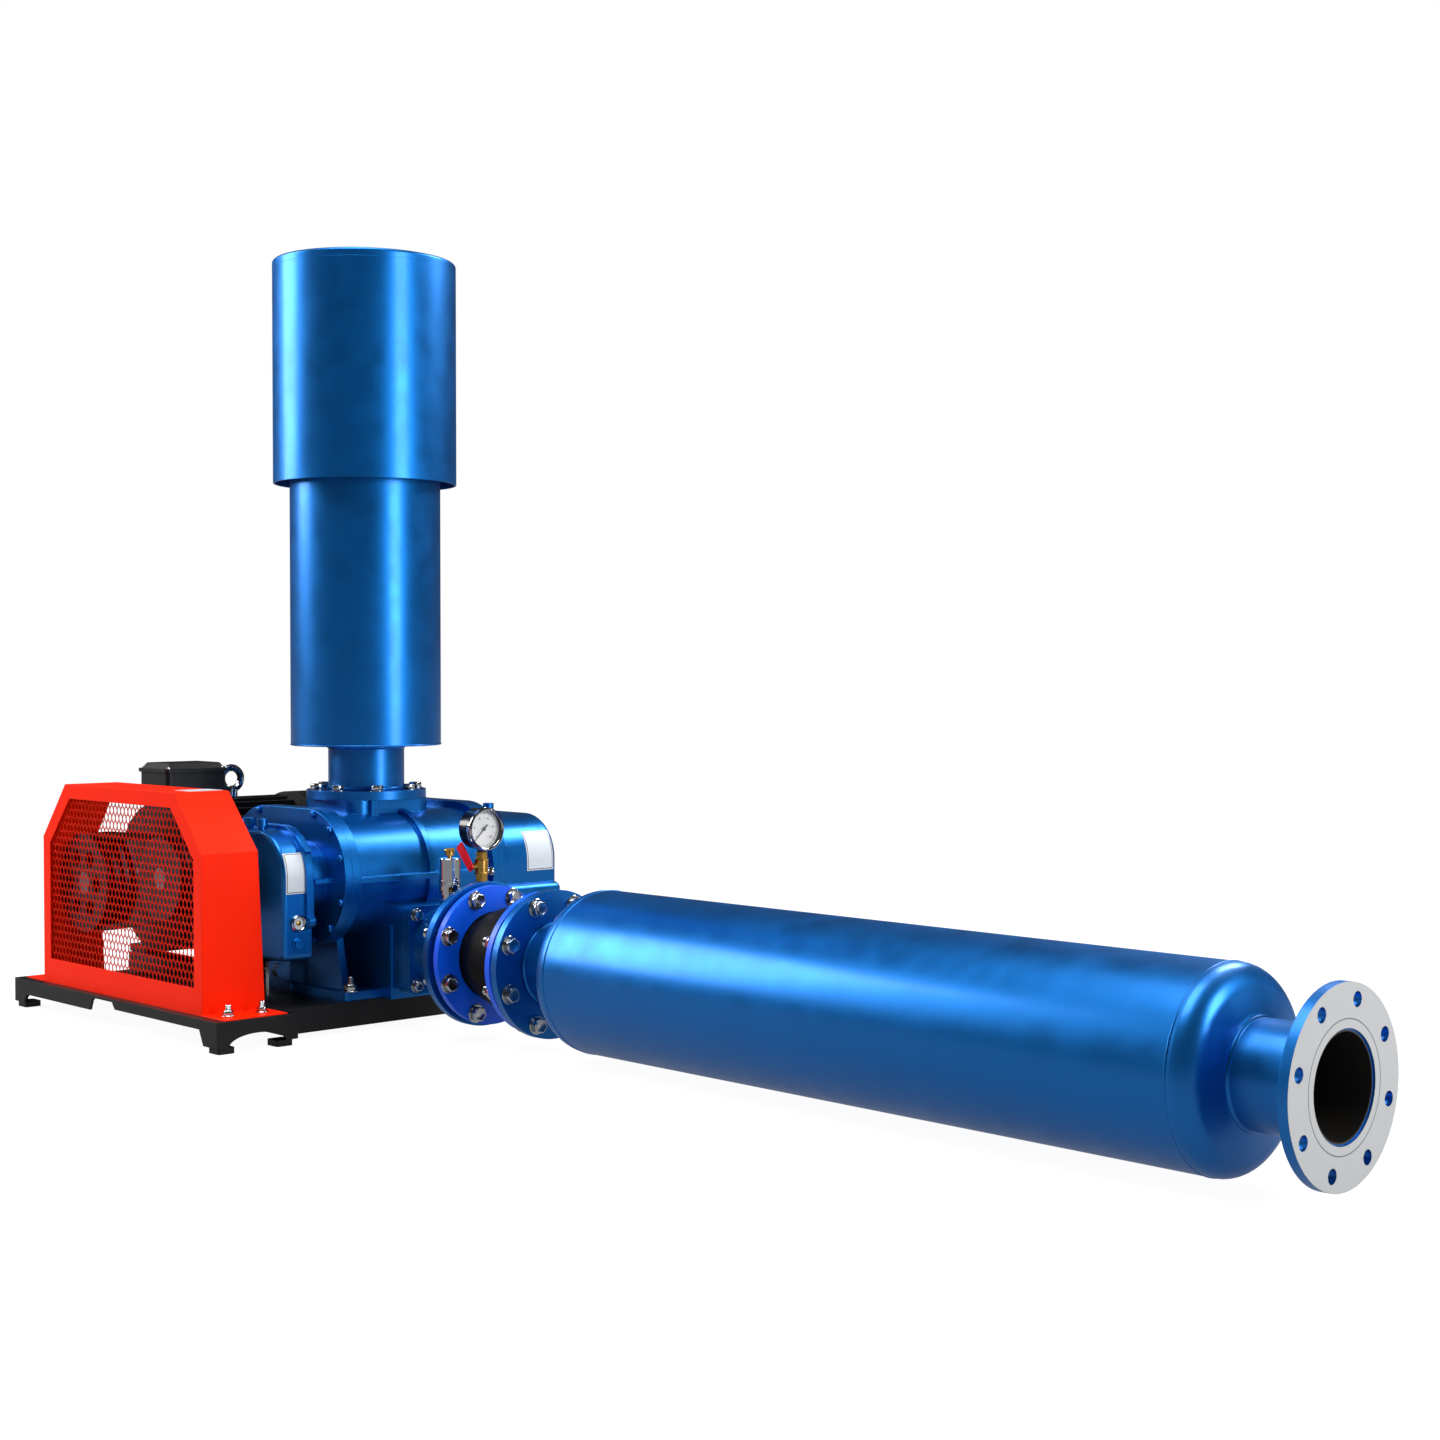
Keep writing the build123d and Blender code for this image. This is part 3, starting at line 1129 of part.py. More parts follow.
with BuildPart() as motor_fan:
    motor_disc(82, 26, 42, MOTOR_SHAFT_R)
    motor_disc(82, 3, 136, MOTOR_SHAFT_R)
    with BuildSketch(across(82)):
        with Locations((MOTOR_Y, MOTOR_Z)):
            with PolarLocations(84, 8):
                Rectangle(86, 3)
    extrude(amount=26)
motor_fan.part.label = "motor_fan"
export_step(motor_fan.part, "parts/motor_fan.step")

COWL_R = 174.0
with BuildPart() as fan_cowl:
    motor_disc(COWL_X[0], COWL_X[1] - COWL_X[0], COWL_R, 0)
    fillet(fan_cowl.faces().sort_by(Axis.X)[-1].edges(), 16)
    with BuildSketch(across(COWL_X[0])):
        with Locations((MOTOR_Y, MOTOR_Z)):
            Circle(COWL_R - 2.5)
    extrude(amount=COWL_X[1] - COWL_X[0] - 12, mode=Mode.SUBTRACT)
    # ring of air slots in the end
    with BuildSketch(across(COWL_X[1] - 12)):
        with Locations((MOTOR_Y, MOTOR_Z)):
            with PolarLocations(78, 18):
                SlotOverall(92, 9)
    extrude(amount=12, mode=Mode.SUBTRACT)
    # mounting ring back to the end bell
    motor_disc(COWL_X[0], 4, COWL_R - 2, 160)
fan_cowl.part.label = "fan_cowl"
export_step(fan_cowl.part, "parts/fan_cowl.step")

with BuildPart() as terminal_box:
    with BuildSketch(Plane.XY.offset(BOX_Z[0])):
        with Locations((sum(BOX_X) / 2, sum(BOX_Y) / 2)):
            RectangleRounded(BOX_X[1] - BOX_X[0], BOX_Y[1] - BOX_Y[0], 10)
    extrude(amount=BOX_Z[1] - BOX_Z[0])
    with BuildSketch(Plane.XY.offset(BOX_Z[0] + 5)):
        with Locations((sum(BOX_X) / 2, sum(BOX_Y) / 2)):
            RectangleRounded(BOX_X[1] - BOX_X[0] - 10, BOX_Y[1] - BOX_Y[0] - 10, 6)
    extrude(amount=BOX_Z[1] - BOX_Z[0], mode=Mode.SUBTRACT)
    # cable gland on the back wall
    with BuildSketch(facing(BOX_Y[1] + 26)):
        with Locations((sum(BOX_X) / 2, BOX_Z[0] + 28)):
            Circle(17)
            Circle(10, mode=Mode.SUBTRACT)
    extrude(amount=26)
terminal_box.part.label = "terminal_box"
export_step(terminal_box.part, "parts/terminal_box.step")

with BuildPart() as terminal_lid:
    with BuildSketch(Plane.XY.offset(BOX_Z[1])):
        with Locations((sum(BOX_X) / 2, sum(BOX_Y) / 2)):
            RectangleRounded(BOX_X[1] - BOX_X[0] + 8, BOX_Y[1] - BOX_Y[0] + 8, 10)
    extrude(amount=8)
    with BuildSketch(Plane.XY.offset(BOX_Z[1] + 8)):
        with Locations((sum(BOX_X) / 2, sum(BOX_Y) / 2)):
            RectangleRounded(BOX_X[1] - BOX_X[0] - 4, BOX_Y[1] - BOX_Y[0] - 4, 8)
    extrude(amount=12, taper=40)
terminal_lid.part.label = "terminal_lid"
export_step(terminal_lid.part, "parts/terminal_lid.step")

EYE_X, EYE_Z, EYE_R = -87.0, 488.0, 24.0
with BuildPart() as lifting_eye:
    with BuildSketch(Plane.XY.offset(EYE_Z)):
        with Locations((EYE_X + EYE_R, MOTOR_Y)):
            RegularPolygon(8, 12)
    revolve(axis=Axis((EYE_X, MOTOR_Y, EYE_Z), (0, 1, 0)))
    stand(EYE_X, MOTOR_Y, MOTOR_Z + MOTOR_FIN_R, EYE_Z - EYE_R - MOTOR_Z - MOTOR_FIN_R, 14)
lifting_eye.part.label = "lifting_eye"
export_step(lifting_eye.part, "parts/lifting_eye.step")

RAIL_X = (-222.0, 8.0)
RAIL_Y = (-2.0, 362.0)
with BuildPart() as motor_rails:
    # channel-section slide rails, slotted on top for the motor's hold-down bolts
    for x in RAIL_X:
        with BuildSketch(facing(RAIL_Y[1])):
            with BuildLine():
                Polyline((x - 30, BASE_TOP), (x - 30, BASE_TOP + RAIL_H), (x + 30, BASE_TOP + RAIL_H),
                         (x + 30, BASE_TOP), (x + 24, BASE_TOP), (x + 24, BASE_TOP + RAIL_H - 6),
                         (x - 24, BASE_TOP + RAIL_H - 6), (x - 24, BASE_TOP), close=True)
            make_face()
        extrude(amount=RAIL_Y[1] - RAIL_Y[0])
        with BuildSketch(Plane.XY.offset(BASE_TOP)):
            with Locations((x, MOTOR_Y - MOTOR_FOOT), (x, MOTOR_Y + MOTOR_FOOT)):
                SlotOverall(70, 15, rotation=90)
        extrude(amount=RAIL_H, mode=Mode.SUBTRACT)
motor_rails.part.label = "motor_rails"
export_step(motor_rails.part, "parts/motor_rails.step")

ROD_X, ROD_Z, ROD_R = -206.0, 111.0, 9.0
ROD_Y = (MOTOR_Y - MOTOR_FOOT - 35, -196.0)
with BuildPart() as tension_rod:
    # polished screw between a bracket on the front deck and the motor's front foot
    with BuildSketch(facing(ROD_Y[0])):
        with Locations((ROD_X, ROD_Z)):
            Circle(ROD_R)
    extrude(amount=ROD_Y[0] - ROD_Y[1])
    with BuildSketch(facing(ROD_Y[1] + 22)):
        with Locations((ROD_X, (BASE_TOP + ROD_Z + 20) / 2)):
            Rectangle(50, ROD_Z + 20 - BASE_TOP)
    extrude(amount=12)
    for nut_y in (ROD_Y[1] + 36, ROD_Y[1] + 10):
        with BuildSketch(facing(nut_y)):
            with Locations((ROD_X, ROD_Z)):
                RegularPolygon(15, 6)
        extrude(amount=14 if nut_y > ROD_Y[1] + 20 else 10)
tension_rod.part.label = "tension_rod"
export_step(tension_rod.part, "parts/tension_rod.step")

# ---- fittings and fasteners --------------------------------------------------------------------------
GLASSES = ((-273.0, BLOWER_Y - TANK_HALF, 228.0), (300.0, BLOWER_Y - SUMP_HALF, 228.0))
with BuildPart() as sight_glasses:
    for x, y, z in GLASSES:
        with BuildSketch(facing(y)):
            with Locations((x, z)):
                Circle(17)
        extrude(amount=9)
        with BuildSketch(facing(y - 5)):
            with Locations((x, z)):
                Circle(12)
        extrude(amount=4, mode=Mode.SUBTRACT)
sight_glasses.part.label = "sight_glasses"
export_step(sight_glasses.part, "parts/sight_glasses.step")

with BuildPart() as oil_plugs:
    for x, y in ((-273.0, BLOWER_Y - TANK_HALF), (340.0, BLOWER_Y - SUMP_HALF)):
        for radius, depth in ((13, 4), (10, 10)):
            with BuildSketch(facing(y)):
                with Locations((x, 187)):
                    Circle(radius)
            extrude(amount=depth)
    for x, y, foot_z in ((-279.0, BLOWER_Y - 40, TANK_Z[1]), (-279.0, BLOWER_Y + 6, TANK_Z[1]),
                         (300.0, BLOWER_Y - 30, CASE_Z[1])):
        stand(x, y, foot_z, 12, 8)
        stand(x, y, foot_z + 6, 16, 12)
oil_plugs.part.label = "oil_plugs"
export_step(oil_plugs.part, "parts/oil_plugs.step")

PLATE_BOLT_R = PLATE_R - 9


def rim_spots(radius, angles):
    """Bolt places on both end arcs of a twin outline, at angles from the +Z side round to -Z."""
    spots = []
    for angle in angles:
        for side in (-1, 1):
            reach = PITCH_R - radius * cos(radians(angle))
            spots.append((BLOWER_Y + side * reach, ROTOR_Z + radius * sin(radians(angle))))
    return spots


with BuildPart() as casing_bolts:
    # the sump covers the lower half of the far end plate
    for face_x, sign, angles in ((CAST_X[0] - PLATE_T, -1, (100, 130, 160, 200, 230, 260)),
                                 (CAST_X[1] + PLATE_T, 1, (100, 130, 160))):
        with BuildSketch(across(face_x)):
            with Locations(*rim_spots(PLATE_BOLT_R, angles)):
                RegularPolygon(7.5, 6)
        extrude(amount=sign * 6)
    with BuildSketch(Plane.XY.offset(PAD_TOP + INLET_FLANGE_T)):
        with Locations((0, BLOWER_Y)):
            with PolarLocations(INLET_PCD / 2, 8, 22.5):
                RegularPolygon(13.8, 6)
    extrude(amount=10)
    with BuildSketch(facing(CASING_FACE_Y - SQUARE_T)):
        with Locations((0, DUCT_Z)):
            with GridLocations(2 * SQUARE_BOLT, 2 * SQUARE_BOLT, 2, 2):
                RegularPolygon(12, 6)
    extrude(amount=9)
casing_bolts.part.label = "casing_bolts"
export_step(casing_bolts.part, "parts/casing_bolts.step")

GUARD_MID = (GUARD_X[0] + GUARD_X[1]) / 2
GUARD_BOLTS = [(GUARD_MID + dx, y) for dx in (-37, 37) for y in (GUARD_Y[0] - 41, GUARD_Y[1] + 41)]
FOOT_BOLTS = [(side * 150, BLOWER_Y + end * 162) for side in (-1, 1) for end in (-1, 1)]
MOTOR_BOLTS = [(x, MOTOR_Y + side * MOTOR_FOOT) for x in RAIL_X for side in (-1, 1)]
with BuildPart() as hold_down_bolts:
    for spots, seat_z, size in ((GUARD_BOLTS, BASE_TOP + GUARD_T, 12), (FOOT_BOLTS, BASE_TOP + 18, 16),
                                (MOTOR_BOLTS, FOOT_TOP, 14)):
        with BuildSketch(Plane.XY.offset(seat_z)):
            with Locations(*spots):
                RegularPolygon(size * 0.87, 6)
        extrude(amount=size * 0.8)
        with BuildSketch(Plane.XY.offset(seat_z)):
            with Locations(*spots):
                Circle(size / 2)
        extrude(amount=size * 1.9)
hold_down_bolts.part.label = "hold_down_bolts"
export_step(hold_down_bolts.part, "parts/hold_down_bolts.step")
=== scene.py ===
"""Finishes and fine pieces for a belt-driven three-lobe Roots blower package.

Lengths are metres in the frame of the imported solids: X along the rotor shafts, -Y the way the air
leaves, +Z up, origin on the floor between the anchor bolts.
"""
import math
import bpy
from bpy.props import FloatProperty, FloatVectorProperty, IntProperty, PointerProperty
from mathutils import Matrix, Vector


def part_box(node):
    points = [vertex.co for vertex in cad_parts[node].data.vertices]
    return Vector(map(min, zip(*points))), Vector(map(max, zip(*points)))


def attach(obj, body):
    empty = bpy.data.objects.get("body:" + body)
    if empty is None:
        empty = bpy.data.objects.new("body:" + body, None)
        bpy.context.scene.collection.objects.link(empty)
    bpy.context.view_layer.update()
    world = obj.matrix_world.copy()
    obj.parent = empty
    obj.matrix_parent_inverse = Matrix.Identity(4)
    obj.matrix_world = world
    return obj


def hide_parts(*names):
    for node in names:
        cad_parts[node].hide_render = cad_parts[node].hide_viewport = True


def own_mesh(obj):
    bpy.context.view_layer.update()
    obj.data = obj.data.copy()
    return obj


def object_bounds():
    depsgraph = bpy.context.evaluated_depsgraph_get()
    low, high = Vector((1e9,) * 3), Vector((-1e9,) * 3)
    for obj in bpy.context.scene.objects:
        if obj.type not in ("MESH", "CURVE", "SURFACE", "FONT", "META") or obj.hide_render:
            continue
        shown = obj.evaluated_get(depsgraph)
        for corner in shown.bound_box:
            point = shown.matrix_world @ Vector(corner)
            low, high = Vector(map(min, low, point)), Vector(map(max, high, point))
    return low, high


bl_info = {
    "name": "Roots blower package",
    "version": (1, 0, 0),
    "blender": (4, 5, 0),
    "location": "View3D > Sidebar > Blower",
    "description": "Builds the finishes, fasteners, mesh, gauge and studio for a Roots blower package",
    "category": "Object",
}

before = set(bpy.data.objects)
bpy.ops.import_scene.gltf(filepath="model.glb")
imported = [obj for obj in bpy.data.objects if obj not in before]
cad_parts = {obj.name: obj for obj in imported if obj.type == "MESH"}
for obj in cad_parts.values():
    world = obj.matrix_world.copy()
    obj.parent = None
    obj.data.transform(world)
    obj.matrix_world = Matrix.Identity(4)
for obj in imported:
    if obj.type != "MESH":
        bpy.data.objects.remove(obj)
CAD_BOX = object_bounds()
ROOT = "package"

# ---- places that several pieces share --------------------------------------------------------
MM = 0.001
UP = Vector((0, 0, 1))
OUTWARD = Vector((0, -1, 0))
ALONG = Vector((1, 0, 0))
POLE_R = 0.00001         # a turned piece starts at this radius, and merging closes it
BLOWER_Y = -0.200        # midway between the rotor shafts, and the inlet's axis
ROTOR_Z = 0.310          # height of both rotor shafts
DUCT_Z = 0.167           # height of the discharge line's axis
BASE_TOP = 0.062
MOTOR = Vector((0, 0.200, 0.280))
GAUGE = Vector((0.041, -0.545, 0.409))
PIPE_R = 0.0795          # outside of the DN150 pipes
FLANGE_BOLTS_R = 0.120   # bolt circle of the DN150 flanges
CENTRES = 0.160          # between the rotor shafts
PLATE_BOLTS_R = 0.129    # screws round each end plate
INLET_FACE_Z = 0.478     # top of the inlet flange
INLET_BOLTS_R = 0.105
SQUARE_FACE_Y = -0.478   # front of the casing's square outlet flange
SQUARE_BOLTS = 0.071     # its studs, off the line's axis
SCALE_START, SCALE_SWEEP = 225, 270   # degrees; the dial's scale runs clockwise
GUARD_LOW, GUARD_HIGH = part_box("guard_shell")
GUARD_WALLS = (-0.341, 0.315)         # front and back
GUARD_SHOULDER = 0.374   # where the guard's sides start to slope in
GUARD_CUT = 0.100        # how far the slope comes in
RELIEF_AXIS = (-0.034, -0.540)        # X and Y of the relief valve
BORE_SHADE_R = 0.0772    # painted shade, near black, inside this radius of the silencer's ends
SCORE_R = 0.0925         # scored line on the bare sealing face
RING_PITCH = 0.0012      # turned rings of the sealing face


def rgb(code):
    """Linear colour of an sRGB hex code, with an alpha of 1."""
    parts = [int(code[i:i + 2], 16) / 255 for i in (1, 3, 5)]
    return (*(p / 12.92 if p <= 0.04045 else ((p + 0.055) / 1.055) ** 2.4 for p in parts), 1)


def colour(name, code, description):
    """A colour property that starts at an sRGB hex code."""
    return FloatVectorProperty(name=name, description=description, subtype="COLOR", size=3, min=0, max=1,
                               default=rgb(code)[:3])


def length(name, millimetres, description):
    """A length property, given in millimetres and kept in metres."""
    return FloatProperty(name=name, description=description, subtype="DISTANCE", unit="LENGTH", min=0,
                         default=millimetres * MM)


# ---- sizes and colours -----------------------------------------------------------------------
class BlowerColours(bpy.types.PropertyGroup):
    enamel: colour("Enamel", "#0569B9", "Metallic blue of the casings, pipes and silencers")
    joint: colour("Joint flanges", "#055CF0", "Plain royal blue of the rubber joint's flanges")
    guard: colour("Guard", "#F52300", "Orange-red powder coat of the belt guard")
    base: colour("Base", "#0C0D0E", "Satin black of the base and the motor")
    lever: colour("Lever", "#E00D12", "Dipped sleeve of the gauge cock's lever")
    plate: colour("Plates", "#C9CFD6", "Blank label plates")


class GuardSizes(bpy.types.PropertyGroup):
    pitch: length("Mesh pitch", 15, "Pitch of the expanded mesh along a row, front to back")
    row: length("Row height", 15.4, "Height from one row of the mesh to the next")
    strand: length("Strand", 2.3, "Width of one strand")
    sheet: length("Mesh sheet", 1.2, "Thickness of the expanded sheet")


class FastenerSizes(bpy.types.PropertyGroup):
    joint_head: length("Joint bolt head", 15.4, "Half the width of a joint bolt's head over its corners")
    joint_washer: length("Joint washer", 18.5, "Radius of the washers on the joint bolts")
    thread_pitch: length("Thread pitch", 2.5, "Pitch of the joint bolts' threads")


class GaugeSizes(bpy.types.PropertyGroup):
    scale_radius: length("Scale radius", 34, "Outer end of the marks on the dial")
    divisions: IntProperty(name="Divisions", description="Marks between the ends of the scale", default=50,
                           min=10)
    top_number: IntProperty(name="Top number", description="Last number on the dial", default=10, min=1)


# ---- modelling helpers -----------------------------------------------------------------------
def clear():
    """Leaves object mode with nothing selected."""
    if bpy.context.object and bpy.context.object.mode != "OBJECT":
        bpy.ops.object.mode_set(mode="OBJECT")
    bpy.ops.object.select_all(action="DESELECT")


def take(*objects):
    """Selects these objects alone; the first is active."""
    clear()
    for thing in objects:
        thing.select_set(True)
    bpy.context.view_layer.objects.active = objects[0]
    return objects[0]


def new_piece(name):
    """The object that a primitive operator has just added, named."""
    made = bpy.context.active_object
    made.name = name
    made.data.name = name
    return made


def open_mesh(piece):
    """Starts edit mode on a piece with all of its mesh selected."""
    take(piece)
    bpy.ops.object.mode_set(mode="EDIT")
    bpy.ops.mesh.select_all(action="SELECT")


def close_mesh():
    """Goes back to object mode."""
    bpy.ops.object.mode_set(mode="OBJECT")


def settle(piece):
    """Puts a piece's place, turn and scale into its mesh."""
    take(piece)
    bpy.ops.object.transform_apply(location=True, rotation=True, scale=True)
    return piece


def turned_to(axis, spin=0.0):
    """Rotation that takes +Z to an axis, after a spin about +Z."""
    return Vector(axis).to_track_quat("Z", "Y").to_matrix().to_4x4() @ Matrix.Rotation(spin, 4, "Z")


def put(piece, place, axis=UP, spin=0.0):
    """Moves a piece from the origin to a place with its +Z along an axis, in its mesh."""
    piece.matrix_world = Matrix.Translation(place) @ turned_to(axis, spin)
    return settle(piece)


def modifier(piece, kind, **settings):
    """Adds a modifier, sets it and applies it."""
    take(piece)
    made = piece.modifiers.new(kind.title(), kind)
    for key, value in settings.items():
        setattr(made, key, value)
    bpy.ops.object.modifier_apply(modifier=made.name)
    return piece


def bevelled(piece, width, segments=2, angle=35):
    """Rounds every edge sharper than an angle in degrees."""
    return modifier(piece, "BEVEL", width=width, segments=segments, limit_method="ANGLE",
                    angle_limit=math.radians(angle))


def outward_faces(piece):
    """Merges doubles and points every face outwards."""
    open_mesh(piece)
    bpy.ops.mesh.remove_doubles(threshold=0.00002)
    bpy.ops.mesh.normals_make_consistent(inside=False)
    close_mesh()
    return piece


def turned(name, profile, sides=48):
    """Piece turned about +Z from (radius, height) pairs; it is a ring where the last pair is the first."""
    clear()
    radius, height = profile[0]
    start = max(radius, POLE_R)
    bpy.ops.mesh.primitive_circle_add(vertices=sides, radius=start, location=(0, 0, height))
    piece = new_piece(name)
    settle(piece)
    open_mesh(piece)
    for next_radius, next_height in profile[1:]:
        finish_radius = max(next_radius, POLE_R)
        bpy.ops.mesh.extrude_edges_move(TRANSFORM_OT_translate={"value": (0, 0, next_height - height)})
        grow = finish_radius / start
        bpy.ops.transform.resize(value=(grow, grow, 1), center_override=(0, 0, next_height))
        start, height = finish_radius, next_height
    return outward_faces(piece)


def block(name, size, bevel=0.0, segments=2):
    """Block with rounded edges, centred on the origin."""
    clear()
    bpy.ops.mesh.primitive_cube_add(size=1)
    piece = new_piece(name)
    piece.scale = size
    settle(piece)
    if bevel > 0:
        bevelled(piece, bevel, segments)
    return piece


def copies(piece, name, placings):
    """One piece made of copies at (place, axis, spin) triples, each copy with its own mesh."""
    made = []
    for place, axis, spin in placings:
        take(piece)
        bpy.ops.object.duplicate(linked=False)
        made.append(put(bpy.context.active_object, place, axis, spin))
    bpy.data.objects.remove(piece)
    return joined(name, *made)


def joined(name, *pieces):
    """Several pieces made one."""
    take(*pieces)
    if len(pieces) > 1:
        bpy.ops.object.join()
    made = bpy.context.active_object
    made.name = name
    return made


def complete(piece, finish, body=ROOT, smooth=32, replaces=()):
    """Shades a piece, gives it its finish and fixes it to its body."""
    take(piece)
    bpy.ops.object.shade_smooth_by_angle(angle=math.radians(smooth))
    piece.data.materials.clear()
    piece.data.materials.append(finish)
    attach(piece, body)
    if replaces:
        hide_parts(*replaces)
    return piece


def around(place, axis, radius, count, start, first=UP):
    """Places on a circle round an axis, from a start angle in degrees off the first direction."""
    side = Vector(axis).cross(first)
    spots = []
    for i in range(count):
        angle = math.radians(start + i * 360 / count)
        spots.append(Vector(place) + radius * (math.cos(angle) * Vector(first) + math.sin(angle) * side))
    return spots


# ---- finishes --------------------------------------------------------------------------------
def node(tree, kind, out, given, **settings):
    """Adds a node and returns one of its outputs; given holds its sockets' values, or outputs for them."""
    made = tree.nodes.new("ShaderNode" + kind)
    for key, value in settings.items():
        setattr(made, key, value)
    for key, value in given.items():
        if isinstance(value, bpy.types.NodeSocket):
            tree.links.new(value, made.inputs[key])
        else:
            made.inputs[key].default_value = value
    return made.outputs[out]


def feed(tree, shader, **sources):
    """Links outputs to a shader's sockets, whose names have _ for a space here."""
    for key, source in sources.items():
        tree.links.new(source, shader.inputs[key.replace("_", " ")])


def blank(name, **sockets):
    """A new material with one shader, whose own values the sockets set; also gives its object coordinates."""
    material = bpy.data.materials.new(name)
    material.use_nodes = True
    tree = material.node_tree
    shader = tree.nodes["Principled BSDF"]
    for key, value in sockets.items():
        shader.inputs[key.replace("_", " ")].default_value = value
    return material, tree, shader, node(tree, "TexCoord", "Object", {})


def shade(base, amount):
    """A colour made darker, or lighter where amount is over 1."""
    return (*(min(1, part * amount) for part in base[:3]), 1)


def grain(place, millimetres, detail=2.0, rough=0.5):
    """What node() needs for a noise with features about this many millimetres wide."""
    return "TexNoise", "Fac", {"Vector": place, "Scale": 1 / (millimetres * MM), "Detail": detail,
                               "Roughness": rough}


def cells(place, millimetres):
    """What node() needs for a pattern of cells about this many millimetres wide."""
    return "TexVoronoi", "Distance", {"Vector": place, "Scale": 1 / (millimetres * MM)}


def spread(pattern, low, high):
    """What node() needs to spread the middle of a pattern's range over low to high."""
    return "MapRange", "Result", {"Value": pattern, "From Min": 0.3, "From Max": 0.7, "To Min": low,
                                  "To Max": high}


def coat(tree, shader, tone, first, second, haze, low, high):
    """Colours a shader from first to second by one pattern, and roughens it from low to high by another."""
    tinted = node(tree, "Mix", 2, {"Factor": tone, 6: first, 7: second}, data_type="RGBA")
    feed(tree, shader, Base_Color=tinted, Roughness=node(tree, *spread(haze, low, high)))


def skin(tree, shader, height, depth_mm, strength, edge_mm=0.0):
    """Raises the surface by a pattern; sharp edges catch the light as if eased by edge_mm under the paint."""
    given = {"Height": height, "Distance": depth_mm * MM, "Strength": strength}
    if edge_mm > 0:
        given["Normal"] = node(tree, "Bevel", "Normal", {"Radius": edge_mm * MM})
    feed(tree, shader, Normal=node(tree, "Bump", "Normal", given))


def metallic_enamel(name, base, skin_mm, skin_depth, edge_mm, rough=(0.33, 0.42)):
    """Two-coat metallic enamel: fine aluminium flake under a clear coat, over sheet or a sand casting.

    The flake gives a broad, tinted sheen that goes dark away from the lights; the clear coat adds a
    fainter, sharper one. The flake is about 0.1 mm, drawn at 1.4 mm so that it shows.
    """
    material, tree, shader, place = blank(name, Metallic=0.88, Coat_Weight=0.25, Coat_Roughness=0.2)
    flake = node(tree, *cells(place, 1.4))
    drift = node(tree, *grain(place, 160, 3))
    toned = node(tree, "Mix", 2, {"Factor": drift, 6: shade(base, 0.9), 7: shade(base, 1.1)},
                 data_type="RGBA")
    coat(tree, shader, node(tree, *spread(flake, 0.0, 0.3)), toned, shade(base, 1.3),
         node(tree, *grain(place, 55, 4)), *rough)
    skin(tree, shader, node(tree, *grain(place, skin_mm, 3)), skin_depth, 0.3, edge_mm)
    return material


def duct_enamel(name, base):
    """The same enamel on the silencer's ends: near-black painted shade inside the bore, bare steel on the
    sealing face.

    The bare face is light and matt, turned in fine rings, with a scored line outside the joint's land
    and a darker end on the pipe that stands in the flange.
    """
    material = metallic_enamel(name, base, 5, 0.04, 1.2)
    tree = material.node_tree
    shader = tree.nodes["Principled BSDF"]
    painted = shader.inputs["Base Color"].links[0].from_socket
    gloss = shader.inputs["Roughness"].links[0].from_socket
    # radius is the distance from the line's axis, and depth the place along it
    axes = node(tree, "SeparateXYZ", "X", {"Vector": node(tree, "TexCoord", "Object", {})}).node.outputs
    height = node(tree, "Math", 0, {0: axes["Z"], 1: DUCT_Z}, operation="SUBTRACT")
    flat = node(tree, "CombineXYZ", 0, {"X": axes["X"], "Z": height})
    radius, depth = node(tree, "VectorMath", "Value", {0: flat}, operation="LENGTH"), axes["Y"]
    # the bore's mask: inside this radius the colour is painted shade
    bore = node(tree, "Math", 0, {0: radius, 1: BORE_SHADE_R}, operation="LESS_THAN")
    face = node(tree, "Math", 0, {0: depth, 1: CAD_BOX[0][1] + 0.0004}, operation="LESS_THAN")
    pipe = node(tree, "Math", 0, {0: radius, 1: PIPE_R + 0.0002}, operation="LESS_THAN")
    score = node(tree, "Math", 0, {0: radius, 1: SCORE_R, 2: 0.0009}, operation="COMPARE")
    phase = node(tree, "Math", 0, {0: radius, 1: 2 * math.pi / RING_PITCH}, operation="MULTIPLY")
    wave = node(tree, "Math", 0, {0: phase}, operation="SINE")
    ring = node(tree, "MapRange", "Result", {"Value": wave, "From Min": -1.0})
    bare = rgb("#A0A2A4")
    for share, over in ((ring, "#ABADAF"), (score, "#5D6063"), (pipe, "#5E5C56")):
        bare = node(tree, "Mix", 2, {"Factor": share, 6: bare, 7: rgb(over)}, data_type="RGBA")
    # painted shade: near black and matt inside the bore, where the pipe lies in shade
    bore_shaded = node(tree, "Mix", 2, {"Factor": bore, 6: painted, 7: rgb("#1B1815")}, data_type="RGBA")
    tone = node(tree, "Mix", 2, {"Factor": face, 6: bore_shaded, 7: bare}, data_type="RGBA")
    plain = node(tree, "Math", 0, {0: face, 1: bore}, operation="MAXIMUM")
    matt = node(tree, "MapRange", "Result", {"Value": plain, "To Max": 0.2})
    rough = node(tree, "Math", 0, {0: gloss, 1: matt}, operation="ADD")
    metal = node(tree, "MapRange", "Result", {"Value": plain, "To Min": 0.8, "To Max": 0.1})
    feed(tree, shader, Base_Color=tone, Roughness=rough, Metallic=metal)
    return material


def gloss_enamel(name, base):
    """Plain gloss enamel sprayed on a flange: even colour, slight orange peel of about 3 mm."""
    material, tree, shader, place = blank(name, Specular_IOR_Level=0.35, Coat_Weight=0.12,
                                          Coat_Roughness=0.12)
    coat(tree, shader, node(tree, *grain(place, 60, 3)), shade(base, 0.9), shade(base, 1.1),
         node(tree, *grain(place, 30)), 0.28, 0.4)
    skin(tree, shader, node(tree, *grain(place, 3)), 0.04, 0.3, 1.0)
    return material


